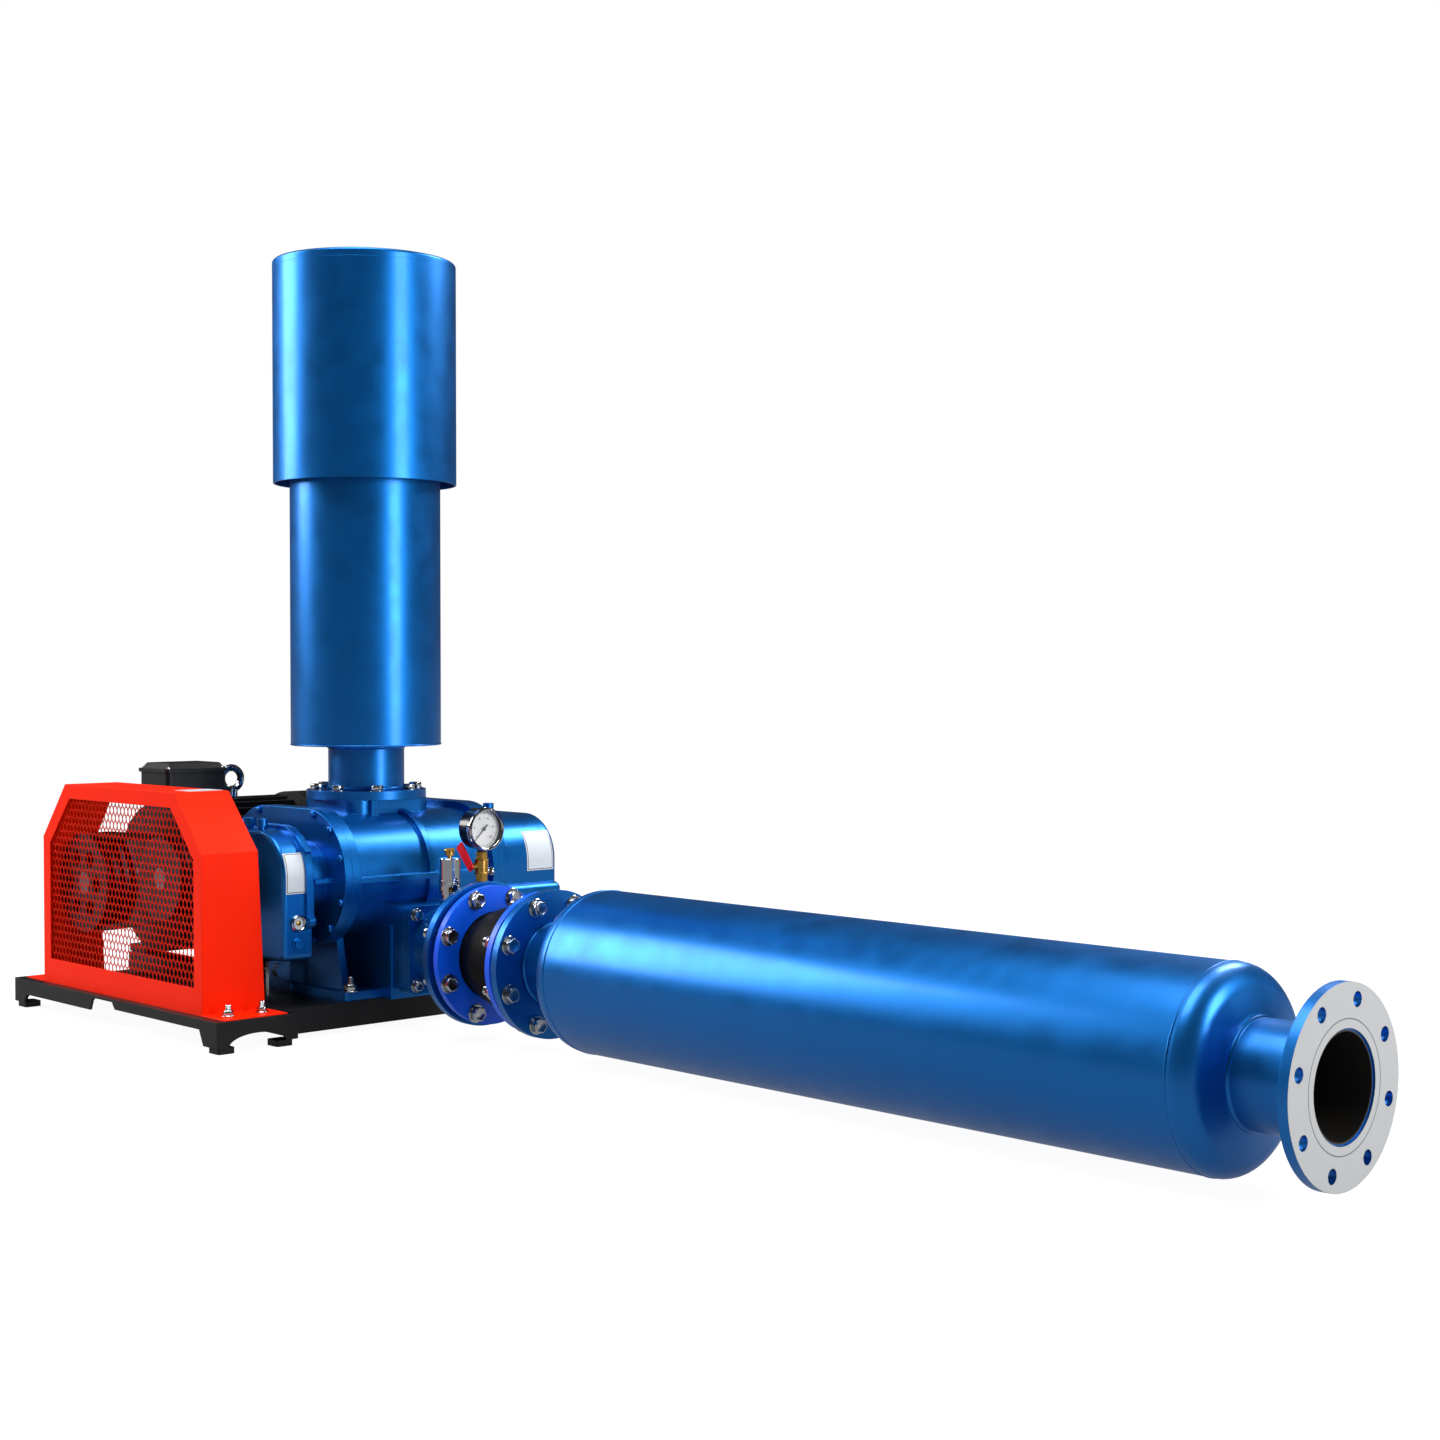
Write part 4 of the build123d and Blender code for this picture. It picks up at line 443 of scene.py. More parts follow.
def powder_coat(name, base, rough=(0.3, 0.4), gloss=0.5):
    """Polyester powder coat on folded sheet: strong even colour, fine pebbled skin of about 1 mm."""
    material, tree, shader, place = blank(name, IOR=1.5, Specular_IOR_Level=gloss)
    coat(tree, shader, node(tree, *grain(place, 120, 3)), shade(base, 0.93), shade(base, 1.06),
         node(tree, *grain(place, 18)), *rough)
    skin(tree, shader, node(tree, *grain(place, 1.2)), 0.05, 0.25, 2.0)
    return material


def satin_black(name, base, skin_mm, depth):
    """Satin black paint: near black, lifted a little by dust in its hollows and worn on broad areas."""
    material, tree, shader, place = blank(name, Specular_IOR_Level=0.3)
    dust = node(tree, *grain(place, 45, 5, 0.6))
    lift = node(tree, *spread(dust, 0.0, 0.5))
    coat(tree, shader, lift, base, shade(base, 2.2), dust, 0.34, 0.5)
    skin(tree, shader, node(tree, *grain(place, skin_mm, 3)), depth, 0.4, 1.0)
    return material


def plated(name, code, rough=(0.1, 0.22), grain_mm=0.6):
    """Bright plating: mirror-like, with faint handling haze and tool marks drawn at 0.6 mm or more."""
    material, tree, shader, place = blank(name, Metallic=1.0)
    haze = node(tree, *grain(place, 9, 4))
    coat(tree, shader, haze, shade(rgb(code), 0.9), rgb(code), haze, *rough)
    skin(tree, shader, node(tree, *grain(place, grain_mm)), 0.01, 0.15)
    return material


def turned_metal(name, code, rough=0.3, ring_mm=0.8, along="Y"):
    """Lathe-turned metal: fine rings left by the tool, drawn at about 0.8 mm."""
    material, tree, shader, place = blank(name, Metallic=1.0)
    stretch = {"X": (1, 0.02, 0.02), "Y": (0.02, 1, 0.02), "Z": (0.02, 0.02, 1)}[along]
    rings = node(tree, "Mapping", 0, {"Vector": place, "Scale": stretch})
    marks = node(tree, *grain(rings, ring_mm))
    coat(tree, shader, marks, shade(rgb(code), 0.82), rgb(code), marks, rough, rough + 0.14)
    skin(tree, shader, marks, 0.02, 0.3)
    return material


def moulded_rubber(name, code="#060708", weave_mm=1.6):
    """Moulded rubber over fabric: matt black with the wrap's cross weave, drawn at 1.6 mm."""
    material, tree, shader, place = blank(name, IOR=1.5, Specular_IOR_Level=0.15)
    bloom = node(tree, *grain(place, 26, 4))
    lift = node(tree, *spread(bloom, 0.0, 0.6))
    coat(tree, shader, lift, rgb(code), shade(rgb(code), 1.9), bloom, 0.5, 0.72)
    skin(tree, shader, node(tree, *cells(place, weave_mm)), 0.12, 0.4)
    return material


def dipped_vinyl(name, base):
    """Vinyl-dipped steel: soft even colour with a low gloss and a slightly lumpy skin of 4 mm."""
    material, tree, shader, place = blank(name, IOR=1.5)
    coat(tree, shader, node(tree, *grain(place, 14)), shade(base, 0.85), base,
         node(tree, *grain(place, 8)), 0.28, 0.42)
    skin(tree, shader, node(tree, *grain(place, 4)), 0.06, 0.3)
    return material


def baked_white(name, base):
    """Stoved enamel on thin sheet, white or black: clean and even, barely glossy."""
    material, tree, shader, place = blank(name, IOR=1.5)
    coat(tree, shader, node(tree, *grain(place, 25)), shade(base, 0.95), base,
         node(tree, *grain(place, 12)), 0.3, 0.42)
    return material


def clear_glass(name):
    """Flat gauge glass: clear, with slight smears that dull its reflection."""
    material, tree, shader, place = blank(name, IOR=1.45, Transmission_Weight=1.0, Alpha=0.16,
                                          Base_Color=(1, 1, 1, 1))
    smears = node(tree, *grain(place, 14))
    feed(tree, shader, Roughness=node(tree, *spread(smears, 0.0, 0.05)))
    material.surface_render_method = "BLENDED"
    return material


def pleated_paper(name):
    """Resin-treated filter paper: warm, matt and fibrous, with fibres drawn at 1.5 mm."""
    material, tree, shader, place = blank(name, IOR=1.5)
    fibre = node(tree, *grain(place, 1.5, 4))
    coat(tree, shader, fibre, rgb("#C9C0A4"), rgb("#E4DDC6"), fibre, 0.75, 0.9)
    skin(tree, shader, fibre, 0.1, 0.4)
    return material


FINISHES = {}


def mix_finishes(colours):
    """Makes every finish once, from the colours that the panel holds."""
    blue, base = (*colours.enamel, 1), (*colours.base, 1)
    FINISHES.update(
        sheet=metallic_enamel("metallic_enamel_on_sheet", blue, 6, 0.03, 1.2),
        casting=metallic_enamel("metallic_enamel_on_casting", blue, 2.2, 0.08, 2.5, (0.3, 0.38)),
        duct=duct_enamel("metallic_enamel_with_painted_bore_shade", blue),
        # painted shade: the perforated core deep in the silencer is near black, as it sits in shade; the dust
        # on it is real
        primer=satin_black("dark_primer_on_perforated_pipe", rgb("#171412"), 2, 0.05),
        joint=gloss_enamel("gloss_enamel_royal_blue", (*colours.joint, 1)),
        guard=powder_coat("powder_coat_orange_red", (*colours.guard, 1), gloss=0.08),
        base=satin_black("satin_black_on_plate", base, 3, 0.05),
        motor=satin_black("satin_black_on_casting", shade(base, 0.9), 1.8, 0.14),
        zinc=plated("bright_zinc", "#BFC2C5", (0.12, 0.24)),
        chrome=plated("polished_chrome", "#B4B8BC", (0.05, 0.12), 2.0),
        steel=turned_metal("ground_steel", "#A9ABAE", 0.26),
        iron=turned_metal("turned_cast_iron", "#55575A", 0.38),
        spring=turned_metal("drawn_spring_wire", "#8C8E92", 0.3, 0.5, "Z"),
        brass=plated("satin_brass", "#C79A4B", (0.2, 0.34), 0.8),
        rubber=moulded_rubber("moulded_rubber"),
        belt=moulded_rubber("wrapped_belt_rubber", "#121213", 1.1),
        lever=dipped_vinyl("dipped_vinyl_red", (*colours.lever, 1)),
        case=powder_coat("gloss_black_gauge_case", rgb("#0B0B0C"), (0.12, 0.2)),
        dial=baked_white("stoved_white_dial", rgb("#F3F3F0")),
        plate=baked_white("stoved_white_plate", (*colours.plate, 1)),
        ink=baked_white("black_dial_ink", rgb("#0A0A0B")),
        glass=clear_glass("clear_gauge_glass"),
        paper=pleated_paper("pleated_filter_paper"),
        # fine lines between the stacked sheets, drawn at 1 mm
        core=turned_metal("laminated_stator_core", "#77787B", 0.45, 1.0, "X"),
        fan=powder_coat("moulded_nylon_black", rgb("#16171A"), (0.45, 0.55)),
    )


NODE_FINISHES = {
    "base": ("base_channels", "base_beams", "base_feet", "motor_rails", "fan_cowl", "terminal_box",
             "terminal_lid"),
    "casting": ("blower_casing", "drive_end_plate", "gear_end_plate", "drive_oil_tank", "gear_case",
                "oil_plugs", "casing_bolts"),
    "sheet": ("discharge_spool", "silencer_shell", "inlet_pipe", "inlet_silencer", "inlet_hood", "hood_lid"),
    "duct": ("silencer_heads", "silencer_flanges"),
    "primer": ("silencer_core",),
    "joint": ("joint_flanges",),
    "guard": ("guard_shell", "guard_mesh"),
    "motor": ("motor_frame", "motor_end_bells"),
    "core": ("motor_stator",),
    "steel": ("rotor_bearings", "drive_rotor", "idle_rotor", "drive_shaft", "idle_shaft", "drive_timing_gear",
              "idle_timing_gear", "motor_rotor"),
    "iron": ("blower_pulley", "motor_pulley"),
    "spring": ("relief_spring",),
    "zinc": ("joint_bolts", "hold_down_bolts", "tension_rod", "sight_glasses"),
    "chrome": ("relief_body", "gauge_bezel", "lifting_eye"),
    "brass": ("relief_stem", "gauge_cock"),
    "rubber": ("rubber_joint", "shaft_seals"),
    "belt": ("drive_belts",),
    "lever": ("cock_lever",),
    "case": ("gauge_case",),
    "dial": ("gauge_dial",),
    "ink": ("gauge_needle",),
    "glass": ("gauge_glass",),
    "paper": ("filter_element",),
    "fan": ("motor_fan",),
}


# ---- operators, one for each group of pieces -------------------------------------------------
class BLOWER_OT_finish_solids(bpy.types.Operator):
    """Gives every solid of the frame its real finish"""
    bl_idname = "blower.finish_solids"
    bl_label = "Finish the solids"

    def execute(self, context):
        mix_finishes(context.scene.blower_colours)
        given = set()
        for finish, names in NODE_FINISHES.items():
            for name in names:
                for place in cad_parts[name].material_slots:
                    place.material = FINISHES[finish]
                given.add(name)
        left = set(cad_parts) - given
        if left:
            raise RuntimeError(f"no finish for {sorted(left)}")
        return {"FINISHED"}


def hexagon_bolt(name, radius, head, shank, shank_length, pitch, nut_from=None):
    """Bolt along +Z, its head standing on the origin and its threaded shank below, with or without a nut."""
    lip = 0.0012
    top = turned(name + "_head", ((0, 0), (radius * 0.86, 0), (radius * 0.97, lip), (radius, lip * 1.3),
                                  (radius, head - lip), (radius * 0.9, head), (radius * 0.78, head),
                                  (radius * 0.74, head - 0.0006), (0, head - 0.0006)), 6)
    parts = [bevelled(top, 0.0005, 1, 30)]
    thread = [(0, 0), (shank, 0)]
    height = shank_length * 0.45
    while height < shank_length - pitch:
        thread += [(shank, -height), (shank * 0.9, -height - pitch / 2)]
        height += pitch
    thread += [(shank, -height), (shank * 0.85, -shank_length), (0, -shank_length)]
    parts.append(turned(name + "_shank", thread, 20))
    if nut_from:
        near, far = -nut_from, -nut_from - head * 1.25
        nut = turned(name + "_nut", ((shank * 0.95, near), (radius * 0.86, near), (radius, near - lip),
                                     (radius, far + lip), (radius * 0.9, far), (shank * 0.95, far),
                                     (shank * 0.95, near)), 6)
        parts.append(bevelled(nut, 0.0005, 1, 30))
    return joined(name, *parts)


def washer(name, outer, inner, thick, height=0.0):
    """Flat washer about +Z with rounded rims, from a height up."""
    rim = thick * 0.3
    return turned(name, ((inner, height), (outer - rim, height), (outer, height + rim),
                         (outer, height + thick * 0.7), (outer - rim, height + thick),
                         (inner, height + thick), (inner, height)), 32)


class BLOWER_OT_joint_fasteners(bpy.types.Operator):
    """Bolts, washers and nuts through the rubber joint's and the silencer's flanges"""
    bl_idname = "blower.joint_fasteners"
    bl_label = "Joint fasteners"

    def execute(self, context):
        sizes = context.scene.blower_fasteners
        grip = 0.042        # the two flanges together
        plate = 0.003       # thickness of a washer
        made = []
        for seat_y in (-0.640, -0.830):
            set_name = f"joint_fasteners_{'pump' if seat_y > -0.7 else 'silencer'}"
            bolt = hexagon_bolt(set_name + "_bolt", sizes.joint_head, 0.013, 0.0098, 0.074,
                                sizes.thread_pitch, grip + plate)
            front = washer(set_name + "_front", sizes.joint_washer, 0.0102, plate)
            back = washer(set_name + "_back", sizes.joint_washer, 0.0102, plate, -grip - plate)
            one = joined(set_name, put(bolt, (0, 0, plate)), front, back)
            spots = around((0, seat_y, DUCT_Z), OUTWARD, FLANGE_BOLTS_R, 8, 22.5)
            placings = [(spot, OUTWARD, 0.3 + 0.7 * i) for i, spot in enumerate(spots)]
            made.append(copies(one, set_name, placings))
        piece = joined("joint_fasteners", *made)
        complete(piece, FINISHES["zinc"], replaces=("joint_bolts",))
        return {"FINISHED"}


class BLOWER_OT_casing_fasteners(bpy.types.Operator):
    """Painted screws round the end plates, bright bolts on the inlet and square flanges"""
    bl_idname = "blower.casing_fasteners"
    bl_label = "Casing fasteners"

    def execute(self, context):
        spots = []
        for face_x, sign, angles in ((-0.198, -1, (100, 130, 160, 200, 230, 260)),
                                     (0.208, 1, (100, 130, 160))):
            for angle in angles:
                for side in (-1, 1):
                    reach = CENTRES / 2 - PLATE_BOLTS_R * math.cos(math.radians(angle))
                    rise = PLATE_BOLTS_R * math.sin(math.radians(angle))
                    place = (face_x, BLOWER_Y + side * reach, ROTOR_Z + rise)
                    spots.append((place, (sign, 0, 0), angle))
        screw = turned("end_plate_screw", ((0, 0), (0.0075, 0), (0.0078, 0.001), (0.0075, 0.0052),
                                           (0.0064, 0.006), (0, 0.006)), 6)
        painted = copies(bevelled(screw, 0.0004, 1, 30), "end_plate_screws", spots)
        complete(painted, FINISHES["casting"])
        top = []
        for i in range(8):
            off = Matrix.Rotation(math.radians(22.5 + 45 * i), 3, "Z") @ Vector((INLET_BOLTS_R, 0, 0))
            top.append((Vector((0, BLOWER_Y, INLET_FACE_Z)) + off, UP, 0.4 * i))
        bolt = hexagon_bolt("inlet_bolt", 0.0135, 0.010, 0.0078, 0.020, 0.002)
        bolt = joined("inlet_bolt", put(bolt, (0, 0, 0.0025)), washer("inlet_washer", 0.0155, 0.008, 0.0025))
        bolts = copies(bolt, "inlet_flange_bolts", top)
        face = [((sx * SQUARE_BOLTS, SQUARE_FACE_Y, DUCT_Z + sz * SQUARE_BOLTS), OUTWARD, 0.5 + sx * sz)
                for sx in (-1, 1) for sz in (-1, 1)]
        stud = hexagon_bolt("square_bolt", 0.0115, 0.009, 0.0068, 0.016, 0.0018)
        stud = joined("square_bolt", put(stud, (0, 0, 0.002)), washer("square_washer", 0.0135, 0.007, 0.002))
        studs = copies(stud, "square_flange_bolts", face)
        bright = joined("flange_bolts", bolts, studs)
        complete(bright, FINISHES["zinc"], replaces=("casing_bolts",))
        return {"FINISHED"}


class BLOWER_OT_hold_down_fasteners(bpy.types.Operator):
    """Studs, nuts and washers on the guard's feet, the casing's feet and the motor's feet"""
    bl_idname = "blower.hold_down_fasteners"
    bl_label = "Hold-down fasteners"

    def execute(self, context):
        guard_x = (GUARD_LOW.x + GUARD_HIGH.x) / 2
        flange = 0.041      # from the guard's walls out to the bolts in its foot flanges
        guard = [((guard_x + dx, y, BASE_TOP + 0.0025), 0.012)
                 for dx in (-0.037, 0.037) for y in (GUARD_WALLS[0] - flange, GUARD_WALLS[1] + flange)]
        feet = [((sx * 0.150, BLOWER_Y + sy * 0.162, BASE_TOP + 0.018), 0.016)
                for sx in (-1, 1) for sy in (-1, 1)]
        motor = [((x, MOTOR.y + sy * 0.1395, BASE_TOP + 0.056), 0.014)
                 for x in (-0.222, 0.008) for sy in (-1, 1)]
        made = []
        for group, spots in (("guard", guard), ("casing", feet), ("motor", motor)):
            size = spots[0][1]
            low, high = 0.0025, size * 0.85 + 0.0012
            nut = turned(group + "_nut", ((size * 0.45, low), (size * 0.8, low), (size * 0.87, 0.0036),
                                          (size * 0.87, size * 0.8), (size * 0.8, high), (size * 0.45, high),
                                          (size * 0.45, low)), 6)
            stud = [(0, 0), (size * 0.5, 0), (size * 0.5, size)]
            height = size
            while height < size * 1.8:
                stud += [(size * 0.5, height), (size * 0.43, height + 0.0009)]
                height += 0.0018
            stud += [(size * 0.4, size * 1.9), (0, size * 1.9)]
            one = joined(group + "_stud", bevelled(nut, 0.0004, 1, 30), turned(group + "_rod", stud, 20),
                         washer(group + "_washer", size * 1.08, size * 0.5, low))
            placings = [(place, UP, 1.1 * i) for i, (place, _) in enumerate(spots)]
            made.append(copies(one, group + "_studs", placings))
        piece = joined("hold_down_fasteners", *made)
        complete(piece, FINISHES["zinc"], replaces=("hold_down_bolts",))
        return {"FINISHED"}


class BLOWER_OT_guard_mesh(bpy.types.Operator):
    """Expanded-metal sheet in the guard's window"""
    bl_idname = "blower.guard_mesh"
    bl_label = "Guard mesh"

    def execute(self, context):
        sizes = context.scene.blower_guard
        pitch, row = sizes.pitch, sizes.row
        border = 0.018      # sheet left round the window
        front, back = GUARD_WALLS[0] + border, GUARD_WALLS[1] - border
        low, high = BASE_TOP + 0.042, GUARD_HIGH.z - border
        clear()
        bpy.ops.mesh.primitive_circle_add(vertices=6, radius=1, fill_type="NGON",
                                          rotation=(0, 0, math.radians(30)))
        sheet = new_piece("guard_mesh_fine")
        settle(sheet)
        # a cell stands on a corner and shares its upright strands with the next cell of its row
        sheet.scale = (pitch / math.sqrt(3), row / 1.5, 1)
        open_mesh(settle(sheet))
        bpy.ops.mesh.inset(thickness=sizes.strand / 2, use_boundary=True)
        bpy.ops.mesh.delete(type="FACE")
        close_mesh()
        for count, step in ((int((back - front) / pitch) + 2, (pitch, 0, 0)), (2, (pitch / 2, row, 0)),
                            (int((high - low) / row / 2) + 2, (0, 2 * row, 0))):
            modifier(sheet, "ARRAY", use_relative_offset=False, use_constant_offset=True, count=count,
                     constant_offset_displace=step)
        open_mesh(sheet)
        bpy.ops.mesh.remove_doubles(threshold=0.0002)
        close_mesh()
        modifier(sheet, "SOLIDIFY", thickness=sizes.sheet, offset=0)
        # the sheet's own X and Y become the guard's Y and Z
        sheet.matrix_world = Matrix(((0, 0, 1, GUARD_LOW.x + 0.0048), (1, 0, 0, front), (0, 1, 0, low),
                                     (0, 0, 0, 1)))
        settle(sheet)
        slope = (GUARD_HIGH.z - GUARD_SHOULDER) / GUARD_CUT
        shoulder = GUARD_SHOULDER - 0.006
        cuts = ((Vector((0, back, 0)), Vector((0, 1, 0))), (Vector((0, front, 0)), Vector((0, -1, 0))),
                (Vector((0, 0, high)), UP), (Vector((0, 0, low)), -UP),
                (Vector((0, back, shoulder)), Vector((0, slope, 1)).normalized()),
                (Vector((0, front, shoulder)), Vector((0, -slope, 1)).normalized()))
        for place, normal in cuts:
            open_mesh(sheet)
            bpy.ops.mesh.bisect(plane_co=place, plane_no=normal, use_fill=False, clear_outer=True)
        outward_faces(sheet)
        complete(sheet, FINISHES["guard"], smooth=20, replaces=("guard_mesh",))
        return {"FINISHED"}


def curved_plate(name, width, straight, arc_radius, arc_angle, thick, rise):
    """Thin plate along X that goes up from the origin, then bends towards -Y.

    blank_plates() moves it into place with put() without turning it, as a label glued on.
    """
    clear()
    bpy.ops.mesh.primitive_plane_add(size=1)
    plate = new_piece(name)
    plate.scale = (width, straight, 1)
    plate.rotation_euler = (math.pi / 2, 0, 0)
    plate.location = (0, 0, straight / 2)
    settle(plate)
    open_mesh(plate)
    bpy.ops.mesh.select_all(action="DESELECT")
    close_mesh()
    for edge in plate.data.edges:
        edge.select = all(plate.data.vertices[v].co.z > straight - 1e-5 for v in edge.vertices)
    bpy.ops.object.mode_set(mode="EDIT")
    bpy.ops.mesh.select_mode(type="EDGE")
    bpy.ops.mesh.spin(steps=10, angle=-math.radians(arc_angle), center=(0, -arc_radius, straight),
                      axis=(1, 0, 0))
    outward_faces(plate)
    modifier(plate, "SOLIDIFY", thickness=thick, offset=0)
    return bevelled(plate, rise, 1, 60)


class BLOWER_OT_blank_plates(bpy.types.Operator):
    """Blank white plates with a thin black border, on the oil tank, the gear case and the guard"""
    bl_idname = "blower.blank_plates"
    bl_label = "Blank plates"

    def execute(self, context):
        white, black = [], []
        # each plate is a white leaf, a smaller black one on it, and a smaller white one on that
        for inset, thick, made in ((0.0, 0.0008, white), (0.0022, 0.0010, black), (0.0036, 0.0012, white)):
            for name, width, straight, radius, angle, (x, y, z) in (
                    ("plate_tank", 0.050, 0.030, 0.092, 33, (-0.274, -0.3604, 0.286)),
                    ("plate_gear_case", 0.072, 0.022, 0.096, 40, (0.330, -0.3744, 0.296))):
                less = math.degrees(inset / radius)
                leaf = curved_plate(name, width - 2 * inset, straight - inset, radius, angle - less, thick,
                                    0.0002)
                made.append(put(leaf, (x, y, z + inset)))
            leaf = block("plate_guard", (0.074 - 2 * inset, 0.058 - 2 * inset, thick), 0.0002, 1)
            made.append(put(leaf, (-0.392, -0.190, GUARD_HIGH.z + 0.0002)))
        complete(joined("blank_plates", *white), FINISHES["plate"])
        complete(joined("plate_borders", *black), FINISHES["ink"])
        return {"FINISHED"}


class BLOWER_OT_gauge_face(bpy.types.Operator):
    """Marks and numbers on the dial, and the gauge's rounded bezel"""
    bl_idname = "blower.gauge_face"
    bl_label = "Gauge face"

    def execute(self, context):
        sizes = context.scene.blower_gauge
        face_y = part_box("gauge_dial")[0].y
        outer = sizes.scale_radius
        upright = Matrix.Rotation(math.pi / 2, 4, "X")
        marks = []
        for i in range(sizes.divisions + 1):
            reach, wide = (0.0045, 0.0009) if i % 5 == 0 else (0.0025, 0.0005)
            angle = math.radians(SCALE_START - SCALE_SWEEP * i / sizes.divisions)
            mark = block("mark", (reach, wide, 0.00025))
            radius = outer - reach / 2
            place = GAUGE + Vector((radius * math.cos(angle), 0, radius * math.sin(angle)))
            mark.matrix_world = Matrix.Translation((place.x, face_y - 0.0001, place.z)) @ upright \
                @ Matrix.Rotation(angle, 4, "Z")
            marks.append(settle(mark))
        arc = washer("scale_arc", outer - 0.0002, outer - 0.0007, 0.00025)
        marks.append(put(arc, (GAUGE.x, face_y, GAUGE.z), OUTWARD))
        for i in range(6):
            angle = math.radians(SCALE_START - SCALE_SWEEP * i / 5)
            clear()
            bpy.ops.object.text_add()
            number = new_piece("number")
            number.data.body = str(sizes.top_number * i // 5)
            number.data.size = 0.0078
            number.data.extrude = 0.00012
            number.data.align_x, number.data.align_y = "CENTER", "CENTER"
            radius = outer - 0.0105
            take(number)
            bpy.ops.object.convert(target="MESH")
            number = bpy.context.active_object
            number.matrix_world = Matrix.Translation((GAUGE.x + radius * math.cos(angle), face_y - 0.0001,
                                                      GAUGE.z + radius * math.sin(angle))) @ upright
            marks.append(settle(number))
        ink = joined("dial_marks", *marks)
        complete(ink, FINISHES["ink"], smooth=10)
        ring = turned("bezel", ((0.0412, 0.0), (0.0432, 0.0), (0.0438, 0.0012), (0.0438, 0.003),
                                (0.0432, 0.0036), (0.0434, 0.0075), (0.0436, 0.0095), (0.0426, 0.0122),
                                (0.0402, 0.0134), (0.0385, 0.0126), (0.0372, 0.0108), (0.0372, 0.0102),
                                (0.0412, 0.0102), (0.0412, 0.0)), 72)
        bezel = put(ring, (GAUGE.x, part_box("gauge_bezel")[1].y, GAUGE.z), OUTWARD)
        complete(bezel, FINISHES["chrome"], smooth=40, replaces=("gauge_bezel",))
        return {"FINISHED"}


class BLOWER_OT_weld_beads(bpy.types.Operator):
    """Weld beads on the silencers' seams and necks"""
    bl_idname = "blower.weld_beads"
    bl_label = "Weld beads"

    def execute(self, context):
        def bead(name, radius, width, height, ripples):
            """Ring of weld about +Z, with a flat for each ripple."""
            return turned(name, ((radius - 0.001, -width / 2), (radius + height * 0.6, -width * 0.32),
                                 (radius + height, 0), (radius + height * 0.6, width * 0.32),
                                 (radius - 0.001, width / 2), (radius - 0.001, -width / 2)), ripples)

        made = []
        for y in (-0.980, -2.320):
            made.append(put(bead("seam", 0.1525, 0.005, 0.0009, 180), (0, y, DUCT_Z), OUTWARD))
        for y in (-0.9285, -2.3715):
            made.append(put(bead("neck_weld", PIPE_R, 0.011, 0.0035, 140), (0, y, DUCT_Z), OUTWARD))
        for y in (-0.8335, -2.4855):
            made.append(put(bead("flange_weld", PIPE_R, 0.009, 0.0035, 140), (0, y, DUCT_Z), OUTWARD))
        made.append(put(bead("pump_weld", 0.0835, 0.009, 0.0035, 140), (0, -0.5955, DUCT_Z), OUTWARD))
        for z, radius, width, height in ((0.481, PIPE_R, 0.010, 0.003), (0.568, PIPE_R, 0.010, 0.003),
                                         (0.573, 0.157, 0.004, 0.0012), (1.159, 0.157, 0.004, 0.0012)):
            made.append(put(bead("stack_weld", radius, width, height, 160), (0, BLOWER_Y, z)))
        welds = joined("weld_beads", *made)
        complete(welds, FINISHES["sheet"], smooth=60)
        return {"FINISHED"}


class BLOWER_OT_sight_glasses(bpy.types.Operator):
    """Oil sight glasses and their coloured rings"""
    bl_idname = "blower.sight_glasses"
    bl_label = "Sight glasses"

    def execute(self, context):
        rims, targets, hearts = [], [], []
        for x, y in ((-0.273, -0.360), (0.300, -0.392)):
            place = (x, y, 0.228)
            rim = turned("sight_rim", ((0.0125, 0.0), (0.0165, 0.0), (0.017, 0.001), (0.017, 0.0065),
                                       (0.0155, 0.0088), (0.0135, 0.009), (0.0122, 0.0075), (0.0122, 0.002),
                                       (0.0125, 0.0)), 40)
            rims.append(put(rim, place, OUTWARD))
            target = turned("sight_target", ((0, 0.0005), (0.0124, 0.0005), (0.0124, 0.003), (0.0062, 0.0034),
                                             (0, 0.0034)), 32)
            targets.append(put(target, place, OUTWARD))
            heart = turned("sight_heart", ((0, 0.003), (0.005, 0.003), (0.005, 0.0052), (0.0036, 0.006),
                                           (0, 0.006)), 24)
            hearts.append(put(heart, place, OUTWARD))
        complete(joined("sight_rims", *rims), FINISHES["chrome"], replaces=("sight_glasses",))
        complete(joined("sight_targets", *targets), FINISHES["plate"])
        complete(joined("sight_hearts", *hearts), FINISHES["brass"])
        return {"FINISHED"}


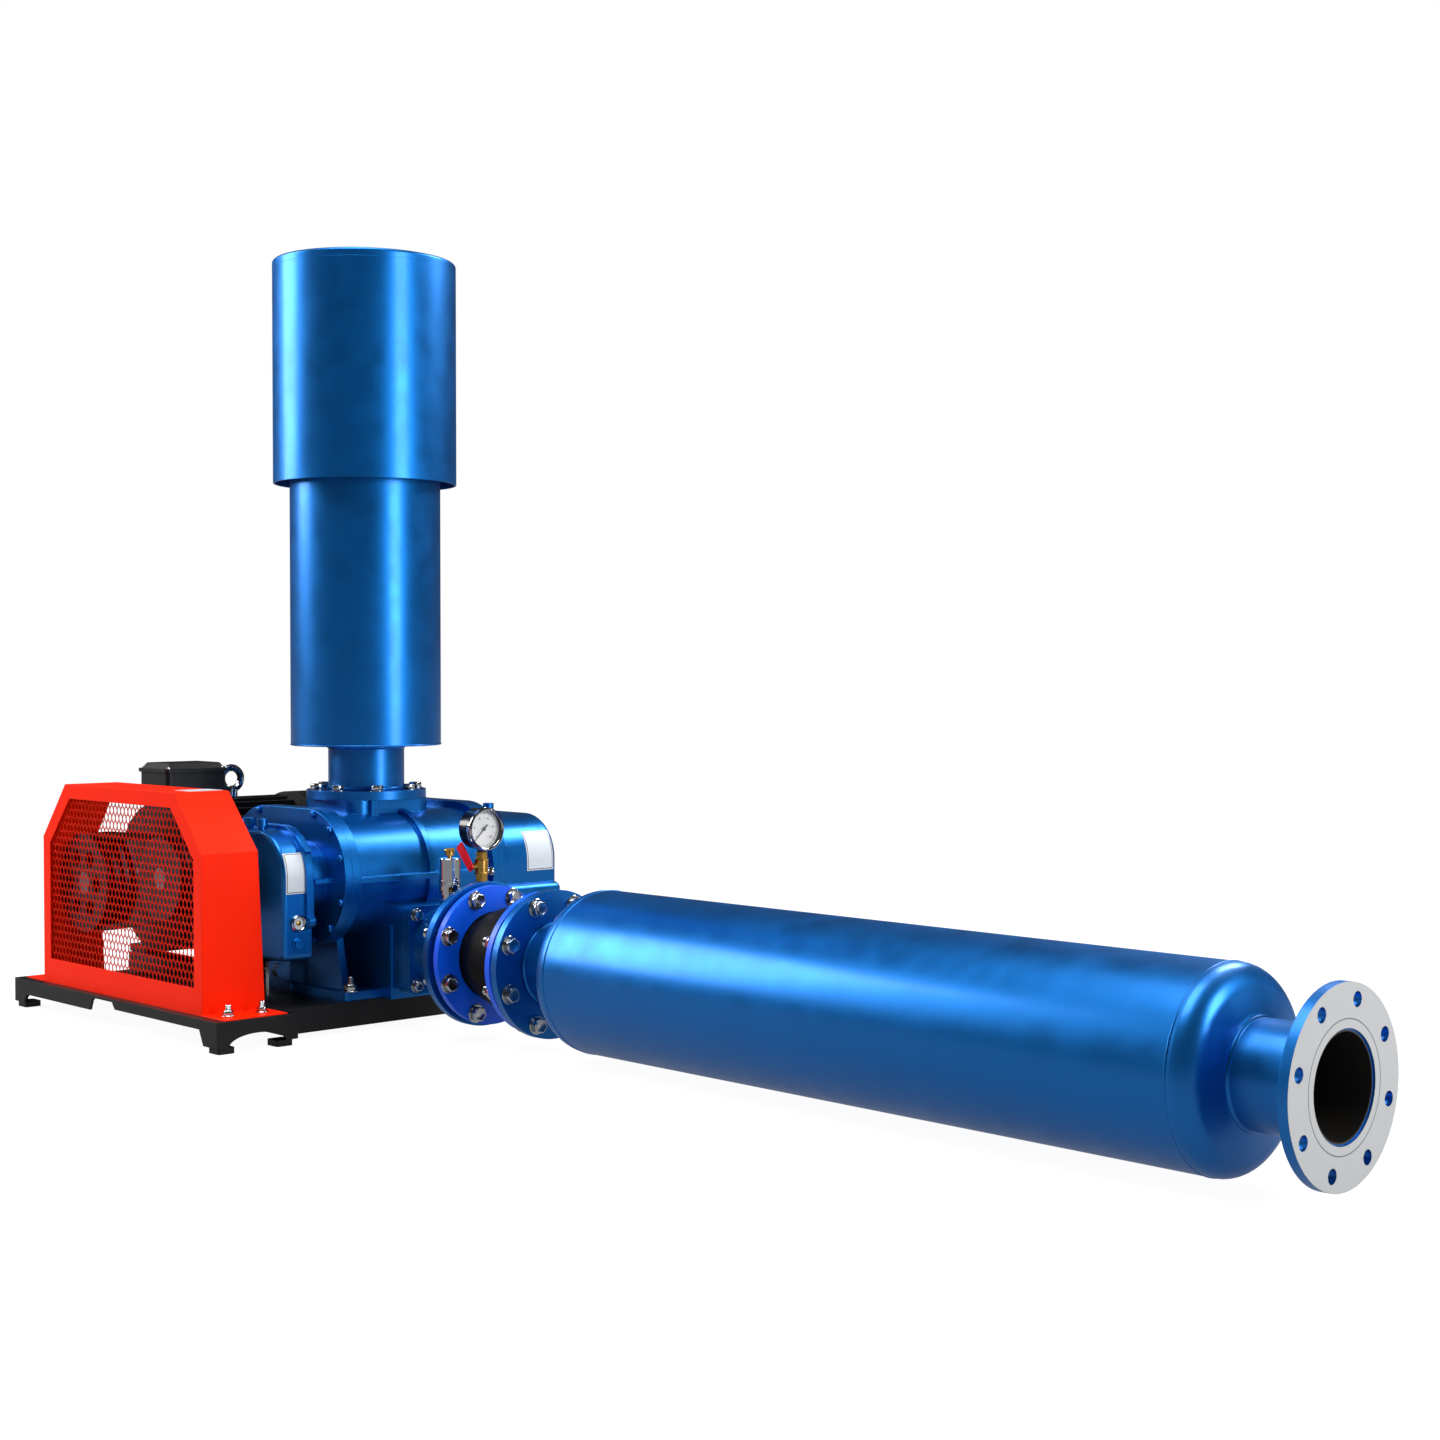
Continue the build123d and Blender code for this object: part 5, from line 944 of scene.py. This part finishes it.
class BLOWER_OT_valve_trim(bpy.types.Operator):
    """Grooved bands, cap and spring of the relief valve, knob and collars of the gauge cock"""
    bl_idname = "blower.valve_trim"
    bl_label = "Valve trim"

    def execute(self, context):
        x, y = RELIEF_AXIS
        bands = turned("valve_bands", ((0.0205, 0.300), (0.0216, 0.3005), (0.0216, 0.303), (0.0211, 0.3035),
                                       (0.0216, 0.304), (0.0216, 0.3065), (0.0211, 0.307), (0.0216, 0.3075),
                                       (0.0216, 0.3105), (0.0205, 0.311), (0.0205, 0.300)), 48)
        cap = turned("valve_cap", ((0.0205, 0.338), (0.0216, 0.3385), (0.0216, 0.3525), (0.0205, 0.354),
                                   (0.010, 0.3545), (0.0052, 0.3545), (0.0052, 0.3532), (0.0205, 0.3532),
                                   (0.0205, 0.338)), 48)
        trim = joined("valve_trim", put(bands, (x, y, 0)), put(cap, (x, y, 0)))
        complete(trim, FINISHES["chrome"])
        # a copy of the spring's mesh, with its doubles merged
        coil = bpy.data.objects.new("relief_coil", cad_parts["relief_spring"].data.copy())
        context.collection.objects.link(coil)
        open_mesh(coil)
        bpy.ops.mesh.remove_doubles(threshold=1e-6)
        close_mesh()
        complete(coil, FINISHES["spring"], smooth=40, replaces=("relief_spring",))
        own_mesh(coil)
        knob = turned("cock_knob", ((0, 0.0), (0.0045, 0.0), (0.0045, 0.006), (0.0075, 0.007),
                                    (0.0088, 0.0095), (0.0088, 0.013), (0.007, 0.0155), (0, 0.016)), 24)
        knob = put(knob, (GAUGE.x + 0.0128, GAUGE.y, 0.322), ALONG)
        complete(knob, FINISHES["chrome"])
        collars = []
        for z in (0.3185, 0.3455):
            collars.append(put(washer("cock_collar", 0.0152, 0.0132, 0.003), (GAUGE.x, GAUGE.y, z)))
        complete(joined("cock_collars", *collars), FINISHES["brass"])
        return {"FINISHED"}


class BLOWER_OT_motor_trim(bpy.types.Operator):
    """Screws of the motor's terminal lid and of its fan cowl"""
    bl_idname = "blower.motor_trim"
    bl_label = "Motor trim"

    def execute(self, context):
        low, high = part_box("terminal_lid")
        edge = 0.012
        corners = [(x, y) for y in (low.y + edge, high.y - edge) for x in (low.x + edge, high.x - edge)]
        spots = [((x, y, 0.516), UP, 0.7 * i) for i, (x, y) in enumerate(corners)]
        screw = turned("lid_screw", ((0, 0), (0.0055, 0), (0.0055, 0.002), (0.004, 0.0035), (0, 0.0035)), 20)
        for degrees in (45, 135, 225, 315):
            out = Vector((0, math.cos(math.radians(degrees)), math.sin(math.radians(degrees))))
            spots.append((MOTOR + Vector((0.068, 0, 0)) + 0.1735 * out, out, 0))
        screws = copies(screw, "motor_screws", spots)
        complete(screws, FINISHES["zinc"])
        return {"FINISHED"}


class BLOWER_OT_stage(bpy.types.Operator):
    """Pale floor, soft studio lights and the camera"""
    bl_idname = "blower.stage"
    bl_label = "Stage"

    def execute(self, context):
        clear()
        bpy.ops.mesh.primitive_plane_add(size=60, location=(0, 0, -0.0005))
        floor = new_piece("studio_floor")
        material, tree, shader, place = blank("pale_floor", Specular_IOR_Level=0.0, Roughness=0.9,
                                              Emission_Color=(1, 1, 1, 1))
        lit = node(tree, "LightPath", "Is Camera Ray", {})
        glow = node(tree, "MapRange", "Result", {"Value": lit, "To Min": 0.3, "To Max": 0.95})
        drift = node(tree, *grain(place, 900, 3))
        tone = node(tree, "Mix", 2, {"Factor": drift, 6: rgb("#5E5E5E"), 7: rgb("#616161")}, data_type="RGBA")
        feed(tree, shader, Base_Color=tone, Emission_Strength=glow)
        floor.data.materials.append(material)
        # the air lights matt things evenly but looks dim in glossy ones, as black flags round a product do
        world = bpy.data.worlds.new("studio_air")
        world.use_nodes = True
        air = world.node_tree
        glossy = node(air, "LightPath", "Is Glossy Ray", {})
        level = node(air, "MapRange", "Result", {"Value": glossy, "To Min": 0.5, "To Max": 0.05})
        camera_ray = node(air, "LightPath", "Is Camera Ray", {})
        seen = node(air, "Math", 0, {0: level, 1: camera_ray}, operation="MAXIMUM")
        air.nodes["Background"].inputs["Color"].default_value = (1, 1, 1, 1)
        feed(air, air.nodes["Background"], Strength=seen)
        context.scene.world = world
        context.scene.view_settings.view_transform = "Standard"
        for name, place, target, width, height, power in (
                ("back_left_softbox", (-2.6, 2.8, 2.6), (0, -0.6, 0.6), 1.9, 2.8, 165),
                ("right_softbox", (0.9, -4.9, 1.5), (0, -0.4, 0.9), 1.3, 2.6, 115),
                ("top_softbox", (-0.9, -0.9, 4.6), (0, -0.8, 0.2), 2.4, 3.2, 170),
                ("right_high_softbox", (2.7, -1.3, 3.0), (0, -0.1, 0.45), 1.2, 1.6, 90)):
            clear()
            bpy.ops.object.light_add(type="AREA", location=place)
            lamp = new_piece(name)
            lamp.data.shape = "RECTANGLE"
            lamp.data.size, lamp.data.size_y = width, height
            lamp.data.energy = power
            lamp.visible_camera = False
            lamp.rotation_euler = (Vector(target) - Vector(place)).to_track_quat("-Z", "Y").to_euler()
        clear()
        bpy.ops.object.camera_add(location=(-2.592, -4.008, 0.7265))
        camera = new_piece("studio_camera")
        camera.data.sensor_width = 36
        camera.data.lens = 53.69
        camera.data.clip_end = 200
        heading, pitch = math.radians(43.6), math.radians(1.3)
        ahead = Vector((math.sin(heading) * math.cos(pitch), math.cos(heading) * math.cos(pitch),
                        -math.sin(pitch)))
        camera.rotation_euler = ahead.to_track_quat("-Z", "Y").to_euler()
        context.scene.camera = camera
        return {"FINISHED"}


class BLOWER_PT_panel(bpy.types.Panel):
    """Sizes, colours and steps for the blower package"""
    bl_idname = "BLOWER_PT_panel"
    bl_label = "Roots blower package"
    bl_space_type = "VIEW_3D"
    bl_region_type = "UI"
    bl_category = "Blower"

    def draw(self, context):
        for group in GROUPS:
            held = getattr(context.scene, group)
            box = self.layout.box()
            for name in held.__annotations__:
                box.prop(held, name)
        for step in STEPS:
            self.layout.operator(step.bl_idname)


GROUPS = {"blower_colours": BlowerColours, "blower_guard": GuardSizes, "blower_fasteners": FastenerSizes,
          "blower_gauge": GaugeSizes}
STEPS = (BLOWER_OT_finish_solids, BLOWER_OT_joint_fasteners, BLOWER_OT_casing_fasteners,
         BLOWER_OT_hold_down_fasteners, BLOWER_OT_guard_mesh, BLOWER_OT_blank_plates, BLOWER_OT_gauge_face,
         BLOWER_OT_weld_beads, BLOWER_OT_sight_glasses, BLOWER_OT_valve_trim, BLOWER_OT_motor_trim,
         BLOWER_OT_stage)


def register():
    for kind in (*GROUPS.values(), *STEPS, BLOWER_PT_panel):
        bpy.utils.register_class(kind)
    for name, kind in GROUPS.items():
        setattr(bpy.types.Scene, name, PointerProperty(type=kind))


def unregister():
    for name in GROUPS:
        delattr(bpy.types.Scene, name)
    for kind in reversed((*GROUPS.values(), *STEPS, BLOWER_PT_panel)):
        bpy.utils.unregister_class(kind)


def main():
    """Registers the panel and its steps, then builds everything."""
    register()
    for step in STEPS:
        group, name = step.bl_idname.split(".")
        getattr(getattr(bpy.ops, group), name)()


if __name__ == "__main__":
    main()
